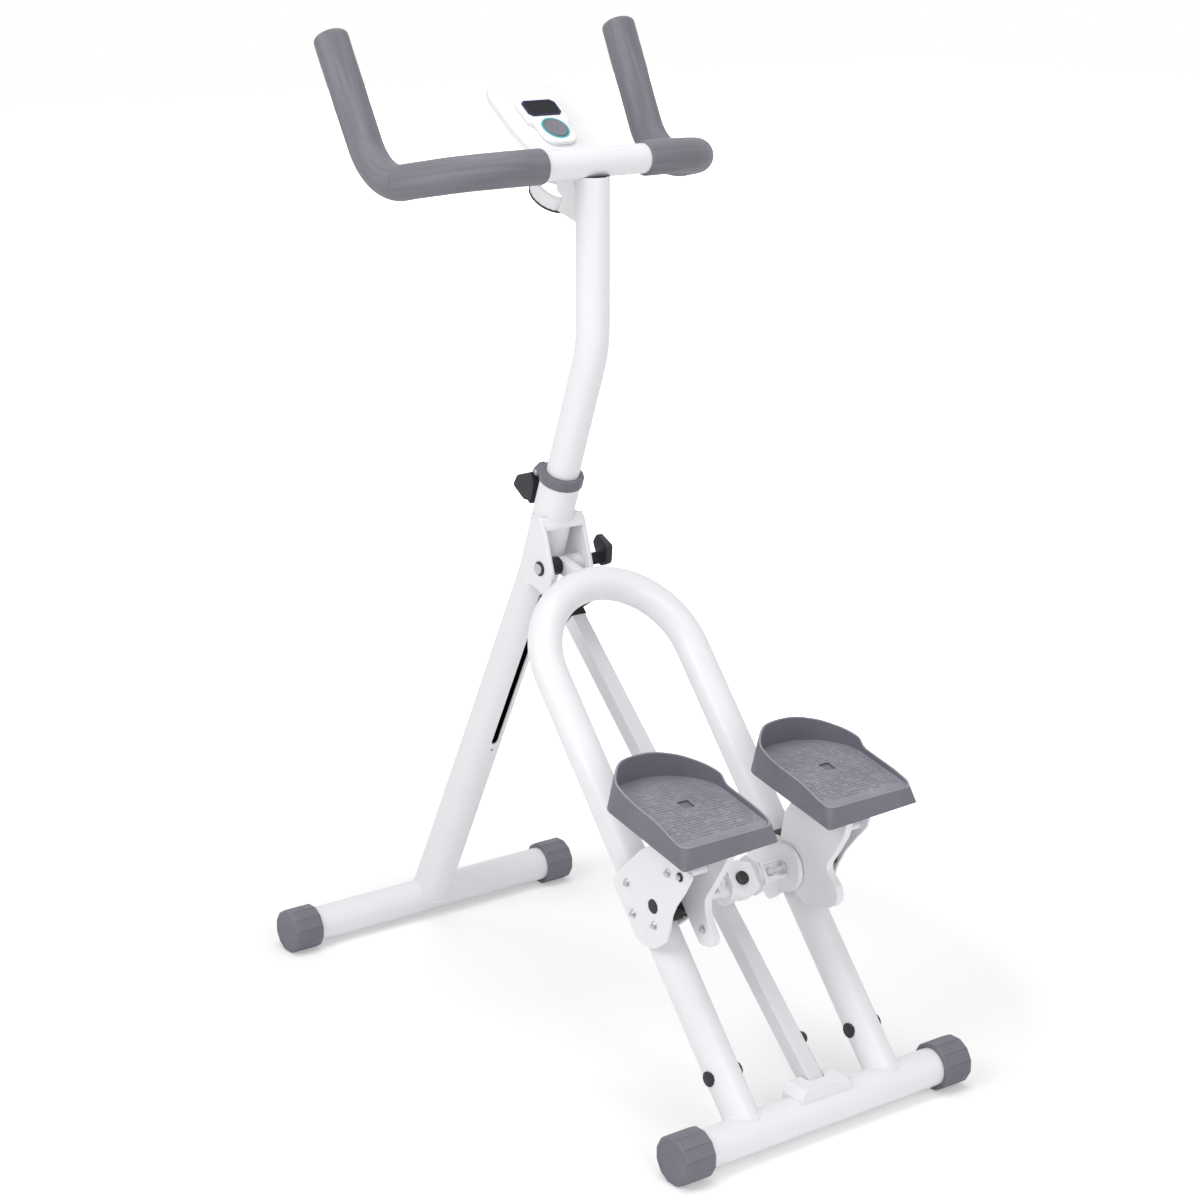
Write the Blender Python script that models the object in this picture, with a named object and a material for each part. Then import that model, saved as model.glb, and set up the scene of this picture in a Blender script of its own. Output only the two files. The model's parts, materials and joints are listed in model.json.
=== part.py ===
"""Folding vertical climber: two sliding pedals, a rocker between them, a console on a telescopic mast.

Metres, +Z up, +Y towards the console, +X to the user's right.
The origin lies on the floor, midway between the two base tubes.
"""

import bmesh
import bpy
from math import acos, asin, atan2, cos, degrees, pi, radians, sin, sqrt, tan
from mathutils import Matrix, Vector

# Clearances
SEAT_GAP = 0.0003
SLIDE_GAP = 0.0004

# Base tubes and their end caps
BASE_SPACING = 0.927
BASE_RADIUS = 0.0262
BASE_WALL = 0.0018
FRONT_WIDTH = 0.520
REAR_WIDTH = 0.496
CAP_RADIUS = 0.0325
CAP_LENGTH = 0.0475
CAP_END = 0.0045
CAP_FACETS = 12
CAP_GROOVE = 0.0010

# Front upright
UPRIGHT_RADIUS = 0.0290
UPRIGHT_WALL = 0.0022
UPRIGHT_LEAN = 27.17
UPRIGHT_LENGTH = 0.6651
STEM_LEAN = 20.58
STEM_LENGTH = 0.1533
STEM_BEND = 0.060
SLOT_LENGTH = 0.2960
SLOT_BELOW_BEND = 0.0171
SLOT_WIDTH = 0.0115
PIN_HOLE_RADIUS = 0.0026
PIN_HOLE_DROP = 0.012

# Coil spring at the top of the slot
SPRING_WIRE = 0.0023
SPRING_RADIUS = 0.0072
SPRING_PITCH = 0.0108
SPRING_TURNS = 4

# Height collar, its clamp lever, and the mast
COLLAR_RADIUS = 0.0315
COLLAR_HEIGHT = 0.0170
COLLAR_SLEEVE = 0.042
LEVER_WIDTH = 0.030
LEVER_HUB_WIDTH = 0.014
LEVER_REACH = 0.0595
LEVER_DROP = 0.0460
LEVER_PIN_LOW = 0.0060
EAR_RADIUS = 0.0064
LEVER_PIN_RADIUS = 0.0030
LEVER_PIN_OUT = 0.010
EAR_THICKNESS = 0.006
MAST_RADIUS = 0.0235
MAST_WALL = 0.0020
MAST_INSERT = 0.112
MAST_RUN = 0.3687
MAST_BEND = 0.160
MAST_TOP_DROP = 0.0182

# Handlebar and foam grips
BAR_RADIUS = 0.0204
BAR_WALL = 0.0018
CROSSBAR_HEIGHT = 1.2182
BAR_HALF_WIDTH = 0.2351
BAR_REACH = 0.1614
BAR_DROP = 0.0315
HORN_SPREAD = 0.0074
HORN_REACH = 0.1040
HORN_RISE = 0.1970
BAR_BEND = 0.110
HORN_BEND = 0.084
FOAM_THICKNESS = 0.0036
FOAM_START = 0.085
FOAM_TIP = 0.010
BAR_TIP_INSET = 0.014

# Console
CONSOLE_TILT = 54.0
CONSOLE_FORWARD = 0.060
CONSOLE_LIFT = 0.0143
CONSOLE_HALF_WIDTH = 0.0615
CONSOLE_TOP = 0.151
CONSOLE_BOTTOM = -0.034
CONSOLE_THICKNESS = 0.009
MODULE_HEIGHT = 0.0065
MODULE_HALF_WIDTH = 0.0345
MODULE_TOP = 0.097
MODULE_WAIST = 0.0515
PILL_RADIUS = 0.0265
BUTTON_CENTRE = 0.0335
BUTTON_RADIUS = 0.0182
BUTTON_RING = 0.0026
BUTTON_PROUD = 0.0014
BUTTON_TRAVEL = 0.0015
DISPLAY_HALF_WIDTH = 0.026
DISPLAY_LOW = 0.0595
DISPLAY_HIGH = 0.0875
DISPLAY_PROUD = 0.0010
DISPLAY_SINK = 0.0025
HOOP_RADIUS = 0.034
HOOP_WALL = 0.0060
HOOP_DEPTH = 0.022
HOOP_BELOW = 0.0536
HOOP_ALONG = -0.0146
ARM_WIDTH = 0.024

# Fold hinge between the upright and the rear frame
PIVOT_BACK = 0.0563
PIVOT_RISE = 0.0238
PIVOT_AHEAD = 0.05382
PIVOT_UNDER = 0.04162
BRACKET_HALF_WIDTH = 0.0380
CHEEK_THICKNESS = 0.0080
HINGE_BOLT_RADIUS = 0.0050
HINGE_HEAD_RADIUS = 0.0078
HINGE_HEAD_HEIGHT = 0.0040
WASHER_RADIUS = 0.0105
WASHER_THICKNESS = 0.0014
TONGUE_HALF_WIDTH = 0.0070
TONGUE_RADIUS = 0.0118
BUSH_RADIUS = 0.0132
KNOB_THICKNESS = 0.0130
KNOB_STANDOFF = 0.0290
KNOB_HUB_RADIUS = 0.0090

# Rear frame: bent rail tube, centre bar and its fittings
RAIL_RADIUS = 0.0240
RAIL_WALL = 0.0020
RAIL_SPREAD = 0.1214
PLUG_UP = 0.082
PLUG_RADIUS = 0.0105
PLUG_PROUD = 0.0030
PLUG_STEM = 0.0050
BAR_SIZE = 0.0250
BAR_SQUARE_WALL = 0.0020
BAR_OFFSET = 0.0114
BAR_START = 0.0215
BAR_TOP_BACK = 0.02264
BAR_TOP_UNDER = 0.06434
TOP_FOOT_UNDER = 0.0238
TOP_FOOT_BACK = 0.0179
TOP_FOOT_RISE = 0.0097
SADDLE_TOP = 0.0400
SADDLE_HALF_TOP = 0.0360
SADDLE_HALF_LOW = 0.0450
SADDLE_DEPTH = 0.0400
BUMPER_UP = 0.092
BUMPER_RADIUS = 0.0095
BUMPER_PROUD = 0.0100
STRIP_LENGTH = 0.046
STRIP_THICKNESS = 0.0014

# Carriages, in the rail's own directions: along the rail, and out from it
CARRIAGE_UP = 0.3120
TRAVEL = 0.0380
SLIDER_BELOW = 0.0200
SLIDER_ABOVE = 0.0560
SLIDER_HALF_WIDTH = 0.0320
SLIDER_UNDER = 0.0285
SLIDER_OVER = 0.0497
PLATE_THICKNESS = 0.0040
PLATE_BOLT_RADIUS = 0.0048
PLATE_BOLT_HEIGHT = 0.0042
PLATE_PLUG_RADIUS = 0.0097
LUG_OUT = 0.0380
LUG_RADIUS = 0.0340
LUG_INNER = 0.0770
PIN_RADIUS = 0.0045
PIN_BALL_RADIUS = 0.0070
PIN_BALL_AT = 0.0540
ARM_INNER = 0.0860
ARM_OUTER = 0.1100
ARM_SHEET = 0.0030
SPACER_RADIUS = 0.0085

# Rocker
ROCKER_LOW = 0.0300
ROCKER_HIGH = 0.0460
ROCKER_HUB_RADIUS = 0.0200
ROCKER_TIP = 0.0735
ROCKER_FORK_WALL = 0.0050
ROCKER_FORK_GAP = 0.0094
ROCKER_FORK_FLARE = 0.0030
RIB_AT = 0.0240
RIB_THICKNESS = 0.0045
RIB_LOW = 0.0140
ROCKER_AXLE = 0.0050
ROCKER_HEAD = 0.0095
MOUNT_RADIUS = 0.0200

# Pedals
PEDAL_AT = 0.1210
PEDAL_HALF_WIDTH = 0.0775
PEDAL_SIDE = 0.152
PEDAL_NOTCH = 0.108
PEDAL_TOE = 0.1825
PEDAL_CROWN = -0.022
PEDAL_PITCH = 12.5
PEDAL_HEEL_BACK = 0.0065
PEDAL_HEEL_OUT = 0.2003
PEDAL_BODY = 0.0330
PEDAL_LIFT = 0.0060
PEDAL_RIM = 0.0290
PEDAL_WALL = 0.0036
HEEL_SLOPE = 0.0300
SIDE_DRAFT = 0.0030
TREAD_RECESS = 0.0180
RECESS_DEPTH = 0.0015
FLANGE_THICKNESS = 0.0032
PEDAL_RIB = 0.0028

# Smoothness
TUBE_SIDES = 20
BAR_SIDES = 14
BORE_SIDES = 8

# Derived positions
FRONT_Y = BASE_SPACING / 2
REAR_Y = -BASE_SPACING / 2
AXLE_Z = CAP_RADIUS


def direction(lean):
    """Unit vector rising forwards by this lean from the vertical, in degrees."""
    return Vector((0, sin(radians(lean)), cos(radians(lean))))


def sloped(start, end, under):
    """Lean and length of a member from start whose end point lies this far under its line."""
    run = end - start
    lean = atan2(run.y, run.z) - asin(under / run.length)
    return degrees(lean), sqrt(run.length ** 2 - under ** 2)


UPRIGHT_DIR = direction(-UPRIGHT_LEAN)
STEM_DIR = direction(-STEM_LEAN)
ACROSS = Vector((1, 0, 0))

FRONT_FOOT = Vector((0, FRONT_Y, AXLE_Z))
REAR_FOOT = Vector((0, REAR_Y, AXLE_Z))
UPRIGHT_BEND = FRONT_FOOT + UPRIGHT_DIR * UPRIGHT_LENGTH
STEM_TOP = UPRIGHT_BEND + STEM_DIR * STEM_LENGTH
MAST_KNEE = UPRIGHT_BEND + STEM_DIR * MAST_RUN
PIVOT = UPRIGHT_BEND + Vector((0, -PIVOT_BACK, PIVOT_RISE))
SLOT_HIGH = UPRIGHT_LENGTH - SLOT_BELOW_BEND
SLOT_LOW = SLOT_HIGH - SLOT_LENGTH

# The rails run from the rear foot to just short of the pivot, which lies under their plane
RAIL_LEAN, pivot_along = sloped(REAR_FOOT, PIVOT, PIVOT_UNDER)
RAIL_LENGTH = pivot_along - PIVOT_AHEAD
RAIL_DIR = direction(RAIL_LEAN)
RAIL_OUT = Vector((0, -RAIL_DIR.z, RAIL_DIR.y))
BAR_TOP = REAR_FOOT + RAIL_DIR * (RAIL_LENGTH - BAR_TOP_BACK) - RAIL_OUT * BAR_TOP_UNDER
BAR_LEAN, BAR_END = sloped(REAR_FOOT, BAR_TOP, -BAR_OFFSET)
BAR_DIR = direction(BAR_LEAN)
BAR_OUT = Vector((0, -BAR_DIR.z, BAR_DIR.y))
CROSSBAR = Vector((0, MAST_KNEE.y, CROSSBAR_HEIGHT))
MAST_TOP = CROSSBAR_HEIGHT - MAST_TOP_DROP


def rail_point(x, along, out):
    """Point given by its distance along the rails and out from their plane."""
    return REAR_FOOT + Vector((x, 0, 0)) + RAIL_DIR * along + RAIL_OUT * out


def frame(origin, ex, ey, ez):
    """Placement matrix from an origin and three axes."""
    matrix = Matrix((ex, ey, ez)).transposed().to_4x4()
    matrix.translation = origin
    return matrix


def clear_scene():
    for obj in list(bpy.data.objects):
        bpy.data.objects.remove(obj, do_unlink=True)


def material(name, colour, roughness, metallic=0.0):
    made = bpy.data.materials.new(name)
    made.use_nodes = True
    shader = made.node_tree.nodes["Principled BSDF"]
    shader.inputs["Base Color"].default_value = (*colour, 1.0)
    shader.inputs["Roughness"].default_value = roughness
    shader.inputs["Metallic"].default_value = metallic
    made.diffuse_color = (*colour, 1.0)
    return made


def joint_frame(name, point):
    """Empty on a joint's axis, which carries that body's pieces."""
    empty = bpy.data.objects.new(name, None)
    empty.empty_display_size = 0.03
    empty.location = point
    bpy.context.scene.collection.objects.link(empty)
    return empty


def add_object(name, bm, matrix, mat, parent=None, smooth=32.0):
    """Object from a bmesh given in the local axes of matrix."""
    bmesh.ops.remove_doubles(bm, verts=bm.verts, dist=1e-6)
    bmesh.ops.recalc_face_normals(bm, faces=bm.faces)
    mesh = bpy.data.meshes.new(name)
    bm.to_mesh(mesh)
    bm.free()
    mesh.materials.append(mat)
    obj = bpy.data.objects.new(name, mesh)
    bpy.context.scene.collection.objects.link(obj)
    if parent:
        obj.parent = parent
        obj.matrix_parent_inverse = Matrix.Translation(parent.location).inverted()
    obj.matrix_basis = matrix
    shade(obj, smooth)
    return obj


def shade(obj, angle):
    obj.data.shade_smooth()
    obj.data.set_sharp_from_angle(angle=radians(angle))


def boolean(obj, tool, operation="DIFFERENCE", smooth=32.0):
    """Cuts or joins a helper object, then removes the helper."""
    modifier = obj.modifiers.new("boolean", "BOOLEAN")
    modifier.solver = "EXACT"
    modifier.operation = operation
    modifier.object = tool
    bpy.context.view_layer.update()
    graph = bpy.context.evaluated_depsgraph_get()
    mesh = bpy.data.meshes.new_from_object(obj.evaluated_get(graph))
    obj.modifiers.clear()
    obj.data = mesh
    bpy.data.objects.remove(tool, do_unlink=True)
    bm = bmesh.new()
    bm.from_mesh(mesh)
    bmesh.ops.remove_doubles(bm, verts=bm.verts, dist=1e-6)
    bm.to_mesh(mesh)
    bm.free()
    shade(obj, smooth)
    return obj


def circle(radius, count, centre=(0.0, 0.0), turn=0.0):
    return [
        (
            centre[0] + radius * cos(turn + 2 * pi * i / count),
            centre[1] + radius * sin(turn + 2 * pi * i / count)
        )
        for i in range(count)
    ]


def filleted(corners, steps=5):
    """Closed outline with each corner (x, y, radius) rounded, as far as its sides allow."""
    outline = []
    count = len(corners)
    for i in range(count):
        here = Vector(corners[i][:2])
        before = (Vector(corners[i - 1][:2]) - here)
        after = (Vector(corners[(i + 1) % count][:2]) - here)
        angle = before.angle(after)
        radius = corners[i][2]
        if radius < 1e-5 or angle > pi - 0.02:
            outline.append(tuple(here))
            continue
        reach = min(radius / tan(angle / 2), before.length * 0.49, after.length * 0.49)
        radius = reach * tan(angle / 2)
        start = here + before.normalized() * reach
        end = here + after.normalized() * reach
        middle = here + (before.normalized() + after.normalized()).normalized() * (radius / sin(angle / 2))
        a0 = atan2(start.y - middle.y, start.x - middle.x)
        a1 = atan2(end.y - middle.y, end.x - middle.x)
        sweep = (a1 - a0 + pi) % (2 * pi) - pi
        parts = max(1, min(steps, round(abs(sweep) / radians(21))))
        for k in range(parts + 1):
            turn = a0 + sweep * k / parts
            outline.append((middle.x + radius * cos(turn), middle.y + radius * sin(turn)))
    return outline


def hull_of_circles(circles, count=28):
    """Outline of a belt drawn round circles (x, y, radius)."""
    points = sorted({
        (round(x + r * cos(2 * pi * i / count), 7), round(y + r * sin(2 * pi * i / count), 7))
        for x, y, r in circles for i in range(count)
    })

    def half(ordered):
        chain = []
        for p in ordered:
            while len(chain) > 1:
                (ax, ay), (bx, by) = chain[-2], chain[-1]
                if (bx - ax) * (p[1] - ay) - (by - ay) * (p[0] - ax) > 1e-10:
                    break
                chain.pop()
            chain.append(p)
        return chain[:-1]

    return half(points) + half(points[::-1])


def prism_mesh(outline, low, high, chamfer=0.0, steps=1):
    """Outline in X and Y, raised from low to high in Z, its two rims chamfered."""
    bm = bmesh.new()
    base = [bm.verts.new((x, y, min(low, high))) for x, y in outline]
    face = bm.faces.new(base)
    lifted = bmesh.ops.extrude_face_region(bm, geom=[face])
    top = [v for v in lifted["geom"] if isinstance(v, bmesh.types.BMVert)]
    bmesh.ops.translate(bm, verts=top, vec=(0, 0, abs(high - low)))
    if chamfer > 0:
        rims = [e for e in bm.edges if abs(e.verts[0].co.z - e.verts[1].co.z) < 1e-7]
        bmesh.ops.bevel(
            bm, geom=rims, offset=chamfer, segments=steps, profile=0.5, affect="EDGES", clamp_overlap=True
        )
    return bm


def prism(name, outline, low, high, matrix, mat, parent=None, chamfer=0.0, steps=1):
    return add_object(name, prism_mesh(outline, low, high, chamfer, steps), matrix, mat, parent)


def rings_mesh(rings, first=True, last=True):
    """Skin over rings of equal count, with flat ends."""
    bm = bmesh.new()
    loops = [[bm.verts.new(p) for p in ring] for ring in rings]
    for lower, upper in zip(loops, loops[1:]):
        count = len(lower)
        for i in range(count):
            j = (i + 1) % count
            bm.faces.new((lower[i], lower[j], upper[j], upper[i]))
    if first:
        bm.faces.new(loops[0][::-1])
    if last:
        bm.faces.new(loops[-1])
    return bm


def turned(name, profile, matrix, mat, parent=None, sides=TUBE_SIDES, smooth=32.0):
    """Solid of revolution about local Z, from (radius, height) pairs in order."""
    rings = [
        [(r * cos(2 * pi * i / sides), r * sin(2 * pi * i / sides), z) for i in range(sides)]
        for r, z in profile
    ]
    if profile[0] == profile[-1]:
        bm = rings_mesh(rings[:-1] + [rings[0]], False, False)
    else:
        bm = rings_mesh(rings)
    return add_object(name, bm, matrix, mat, parent, smooth)


def bent_path(corners, radii, step=radians(9)):
    """Polyline through corners, each inner corner turned to its bend radius."""
    points = [Vector(corners[0])]
    for before, here, after, radius in zip(corners, corners[1:], corners[2:], radii):
        d1 = (Vector(here) - Vector(before)).normalized()
        d2 = (Vector(after) - Vector(here)).normalized()
        angle = acos(max(-1.0, min(1.0, d1.dot(d2))))
        start = Vector(here) - d1 * radius * tan(angle / 2)
        normal = (d2 - d1 * d1.dot(d2)).normalized()
        centre = start + normal * radius
        parts = max(2, round(angle / step))
        for k in range(parts + 1):
            turn = angle * k / parts
            points.append(centre - normal * radius * cos(turn) + d1 * radius * sin(turn))
    points.append(Vector(corners[-1]))
    return points


def sweep_rings(path, radii, sides, up):
    """Rings square to a path, turned as little as the path allows."""
    rings = []
    normal = None
    for i, point in enumerate(path):
        ahead = path[min(i + 1, len(path) - 1)]
        behind = path[max(i - 1, 0)]
        tangent = (ahead - behind).normalized()
        if normal is None:
            normal = (up - tangent * up.dot(tangent)).normalized()
        else:
            normal = (normal - tangent * normal.dot(tangent)).normalized()
        side = tangent.cross(normal)
        rings.append([
            point + (normal * cos(2 * pi * k / sides) + side * sin(2 * pi * k / sides)) * radii[i]
            for k in range(sides)
        ])
    return rings


def annulus(bm, outer, inner):
    """Joins an outer loop to an inner one of another count with triangles."""
    i = j = 0
    m, n = len(outer), len(inner)
    while i < m or j < n:
        if j >= n or (i < m and (i + 0.5) / m <= (j + 0.5) / n):
            bm.faces.new((outer[i % m], outer[(i + 1) % m], inner[j % n]))
            i += 1
        else:
            bm.faces.new((outer[i % m], inner[(j + 1) % n], inner[j % n]))
            j += 1


def hollow_mesh(outer, inner):
    """Tube between an outer and an inner set of rings, open at both ends."""
    bm = bmesh.new()
    skins = []
    for rings in (outer, inner):
        loops = [[bm.verts.new(p) for p in ring] for ring in rings]
        for lower, upper in zip(loops, loops[1:]):
            count = len(lower)
            for i in range(count):
                j = (i + 1) % count
                bm.faces.new((lower[i], lower[j], upper[j], upper[i]))
        skins.append(loops)
    annulus(bm, skins[0][0], skins[1][0])
    annulus(bm, skins[0][-1], skins[1][-1])
    return bm


def pipe_mesh(path, radius, bore=0.0, sides=TUBE_SIDES, bore_sides=BORE_SIDES, up=ACROSS):
    """Tube along a path: a solid rod where bore is 0. A radius may be one number or one for each point."""
    radii = radius if isinstance(radius, list) else [radius] * len(path)
    if not bore:
        return rings_mesh(sweep_rings(path, radii, sides, up))
    return hollow_mesh(
        sweep_rings(path, radii, sides, up), sweep_rings(path, [bore] * len(path), bore_sides, up)
    )


def pipe(name, path, radius, bore, mat, parent=None, sides=TUBE_SIDES, bore_sides=BORE_SIDES, up=ACROSS):
    origin = path[0].copy()
    local = [p - origin for p in path]
    bm = pipe_mesh(local, radius, bore, sides, bore_sides, up)
    return add_object(name, bm, Matrix.Translation(origin), mat, parent)


def rod(start, end, radius, sides=TUBE_SIDES, up=ACROSS):
    """Helper cylinder from one point to another."""
    return pipe("helper", [Vector(start), Vector(end)], radius, 0.0, HELPER, None, sides, up=up)


def block(low, high, matrix=None):
    """Helper box between two local corners."""
    x0, y0, z0 = low
    x1, y1, z1 = high
    outline = [(x0, y0), (x1, y0), (x1, y1), (x0, y1)]
    return prism("helper", outline, z0, z1, matrix or Matrix.Identity(4), HELPER)


def x_frame(point=(0, 0, 0)):
    """Outlines given as (y, z) from the point, raised along +X."""
    return frame(Vector(point), Vector((0, 1, 0)), Vector((0, 0, 1)), ACROSS)


def rail_frame():
    """Outlines given as (along, out) from the carriage's centre on the rail, raised along X."""
    return frame(rail_point(0, CARRIAGE_UP, 0), RAIL_DIR, RAIL_OUT, ACROSS)


clear_scene()

WHITE = material("white_powder_coat", (0.86, 0.86, 0.88), 0.30)
WHITE_PLASTIC = material("white_plastic", (0.87, 0.87, 0.89), 0.35)
FOAM = material("grey_foam", (0.125, 0.125, 0.14), 0.75)
GREY = material("grey_plastic", (0.12, 0.12, 0.135), 0.50)
DARK = material("dark_plastic", (0.035, 0.035, 0.042), 0.45)
BLACK = material("black_nylon", (0.010, 0.010, 0.011), 0.50)
ZINC = material("zinc_plate", (0.62, 0.62, 0.64), 0.30, 1.0)
SPRING_STEEL = material("spring_steel", (0.28, 0.28, 0.30), 0.35, 1.0)
GLASS = material("display_glass", (0.008, 0.010, 0.018), 0.10)
TEAL = material("teal_ring", (0.0, 0.35, 0.40), 0.35)
HELPER = WHITE

fold_axis = joint_frame("fold_axis", PIVOT)
mast_axis = joint_frame("mast_axis", STEM_TOP)


# Base tubes and caps

def base_tube(name, foot, width, parent):
    half = width / 2 - CAP_END - SEAT_GAP
    path = [foot + ACROSS * -half, foot + ACROSS * half]
    return pipe(name, path, BASE_RADIUS, BASE_RADIUS - BASE_WALL, WHITE, parent, up=Vector((0, 0, 1)))


def cap_ring(radius, x, grooved):
    ring = []
    half = pi / CAP_FACETS
    for facet in range(CAP_FACETS):
        middle = -pi / 2 + facet * 2 * half
        for part in (-1, -0.86, 0.86):
            turn = middle + part * half
            reach = radius / cos(part * half)
            if part == -1 and grooved:
                reach -= CAP_GROOVE
            ring.append(Vector((x, reach * cos(turn), reach * sin(turn))))
    return ring


def end_cap(name, foot, width, side, parent):
    """Faceted grip cap over the end of a base tube, open towards the tube."""
    outer = width / 2
    inner = outer - CAP_LENGTH
    floor = outer - CAP_END
    bore = BASE_RADIUS + SEAT_GAP

    def bore_ring(x):
        parts = (-1, -1 / 3, 1 / 3)
        turns = [-pi / 2 + (facet * 2 + part) * pi / CAP_FACETS for facet in range(CAP_FACETS) for part in parts]
        return [Vector((x, bore * cos(turn), bore * sin(turn))) for turn in turns]

    rings = [
        bore_ring(floor),
        bore_ring(inner),
        cap_ring(CAP_RADIUS, inner, True),
        cap_ring(CAP_RADIUS, outer - 0.0030, True),
        cap_ring(CAP_RADIUS - 0.0040, outer, False),
    ]
    if side < 0:
        rings = [[Vector((-p.x, p.y, p.z)) for p in ring] for ring in rings]
    bm = rings_mesh(rings)
    return add_object(name, bm, Matrix.Translation(foot), GREY, parent, 20)


base_tube("front_base_tube", FRONT_FOOT, FRONT_WIDTH, None)
end_cap("front_cap_left", FRONT_FOOT, FRONT_WIDTH, -1, None)
end_cap("front_cap_right", FRONT_FOOT, FRONT_WIDTH, 1, None)
base_tube("rear_base_tube", REAR_FOOT, REAR_WIDTH, fold_axis)
end_cap("rear_cap_left", REAR_FOOT, REAR_WIDTH, -1, fold_axis)
end_cap("rear_cap_right", REAR_FOOT, REAR_WIDTH, 1, fold_axis)


def base_cutter(foot, gap=SEAT_GAP):
    return rod(foot - ACROSS * 0.12, foot + ACROSS * 0.12, BASE_RADIUS + gap, up=Vector((0, 0, 1)))


# Front upright with its slot

UPRIGHT_BACK = Vector((0, -UPRIGHT_DIR.z, UPRIGHT_DIR.y))
STEM_BACK = Vector((0, -STEM_DIR.z, STEM_DIR.y))
upright_path = bent_path([FRONT_FOOT + UPRIGHT_DIR * 0.010, UPRIGHT_BEND, STEM_TOP], [STEM_BEND])
upright = pipe(
    "front_upright", upright_path, UPRIGHT_RADIUS, UPRIGHT_RADIUS - UPRIGHT_WALL, WHITE, None,
    bore_sides=TUBE_SIDES
)
boolean(upright, base_cutter(FRONT_FOOT))

SPRING_OUTER = SPRING_RADIUS + SPRING_WIRE
SPRING_SPAN = SPRING_PITCH * SPRING_TURNS + 2 * SPRING_WIRE
SPRING_DEPTH = UPRIGHT_RADIUS - SPRING_OUTER / 2
slot_frame = frame(FRONT_FOOT, ACROSS, UPRIGHT_DIR, ACROSS.cross(UPRIGHT_DIR))
slot_out = 1 if slot_frame.to_3x3().col[2].y < 0 else -1
window_half = SPRING_OUTER + 0.0005
window_low = SLOT_HIGH - SPRING_SPAN - 0.0012
half_slot = SLOT_WIDTH / 2
slot_outline = filleted([
    (-half_slot, SLOT_LOW, half_slot * 0.5),
    (half_slot, SLOT_LOW, half_slot * 0.5),
    (half_slot, window_low - 0.012, 0.006),
    (window_half, window_low, 0.006),
    (window_half, SLOT_HIGH, 0.003),
    (-window_half, SLOT_HIGH, 0.003),
    (-window_half, window_low, 0.006),
    (-half_slot, window_low - 0.012, 0.006),
])
boolean(upright, prism("helper", slot_outline, 0.010 * slot_out, 0.045 * slot_out, slot_frame, HELPER))
pin_outline = circle(PIN_HOLE_RADIUS, 10, (0, SLOT_LOW - PIN_HOLE_DROP))
boolean(upright, prism("helper", pin_outline, 0.010 * slot_out, 0.045 * slot_out, slot_frame, HELPER))
stem_hole = UPRIGHT_BEND + STEM_DIR * (STEM_LENGTH - 0.016)
boolean(
    upright,
    rod(stem_hole, stem_hole + (STEM_BACK + ACROSS * 0.8).normalized() * 0.05, PIN_HOLE_RADIUS, 10, STEM_DIR)
)


def coil(turns, per_turn=10):
    """Centre line of the spring, in the slot's own axes."""
    points = []
    for k in range(turns * per_turn + 1):
        turn = 2 * pi * k / per_turn
        rise = SPRING_WIRE + SPRING_PITCH * k / per_turn
        points.append(Vector((SPRING_RADIUS * cos(turn), rise, SPRING_RADIUS * sin(turn))))
    return points


spring_line = coil(SPRING_TURNS)
steps = [(a - b).length for i, a in enumerate(spring_line) for b in spring_line[i + 5:]]
print("spring: least gap between turns", round(1000 * (min(steps) - 2 * SPRING_WIRE), 2), "mm")
spring_centre = FRONT_FOOT + UPRIGHT_DIR * (SLOT_HIGH - SPRING_SPAN - 0.0004) + UPRIGHT_BACK * SPRING_DEPTH
spring_frame = frame(spring_centre, ACROSS, UPRIGHT_DIR, ACROSS.cross(UPRIGHT_DIR))
add_object(
    "slot_spring", pipe_mesh(spring_line, SPRING_WIRE, sides=6, up=Vector((1, 0, 0))), spring_frame,
    SPRING_STEEL, None, 60
)


# Hinge bracket on the upright: two cheeks and the web that joins them over the pivot

def bracket_outline():
    """Cheek outline as (y, z) from the pivot."""
    front = UPRIGHT_BEND - PIVOT
    return filleted([
        (0.0020, 0.0735, 0.004),
        (-0.0050, 0.0640, 0.006),
        (-0.0285, -0.0120, 0.016),
        (-0.0085, -0.0380, 0.008),
        (0.0250, -0.0290, 0.004),
        (front.y - 0.0120, front.z - 0.0150, 0.006),
        (front.y - 0.0300, front.z + 0.0900, 0.010),
    ], 3)


cheek_inner = BRACKET_HALF_WIDTH - CHEEK_THICKNESS
bracket = prism(
    "hinge_bracket", bracket_outline(), -BRACKET_HALF_WIDTH, -cheek_inner, x_frame(PIVOT), WHITE, None,
    0.0016
)
boolean(
    bracket,
    prism(
        "helper", bracket_outline(), cheek_inner, BRACKET_HALF_WIDTH, x_frame(PIVOT), HELPER, None, 0.0016
    ),
    "UNION"
)
web_outline = [
    (0.0015, 0.0725), (-0.0060, 0.0640), (-0.0088, 0.0600), (-0.0088, 0.0550), (0.0000, 0.0550),
    (0.0300, 0.0600), (0.0300, 0.0725),
]
boolean(
    bracket, prism("helper", web_outline, -cheek_inner - 0.003, cheek_inner + 0.003, x_frame(PIVOT), HELPER),
    "UNION"
)
boolean(
    bracket,
    pipe(
        "helper", bent_path([FRONT_FOOT, UPRIGHT_BEND, STEM_TOP + STEM_DIR * 0.05], [STEM_BEND]),
        UPRIGHT_RADIUS + SEAT_GAP, 0.0, HELPER
    )
)
boolean(
    bracket,
    rod(PIVOT - ACROSS * 0.06, PIVOT + ACROSS * 0.06, HINGE_BOLT_RADIUS + SLIDE_GAP, 16, UPRIGHT_DIR)
)

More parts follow.
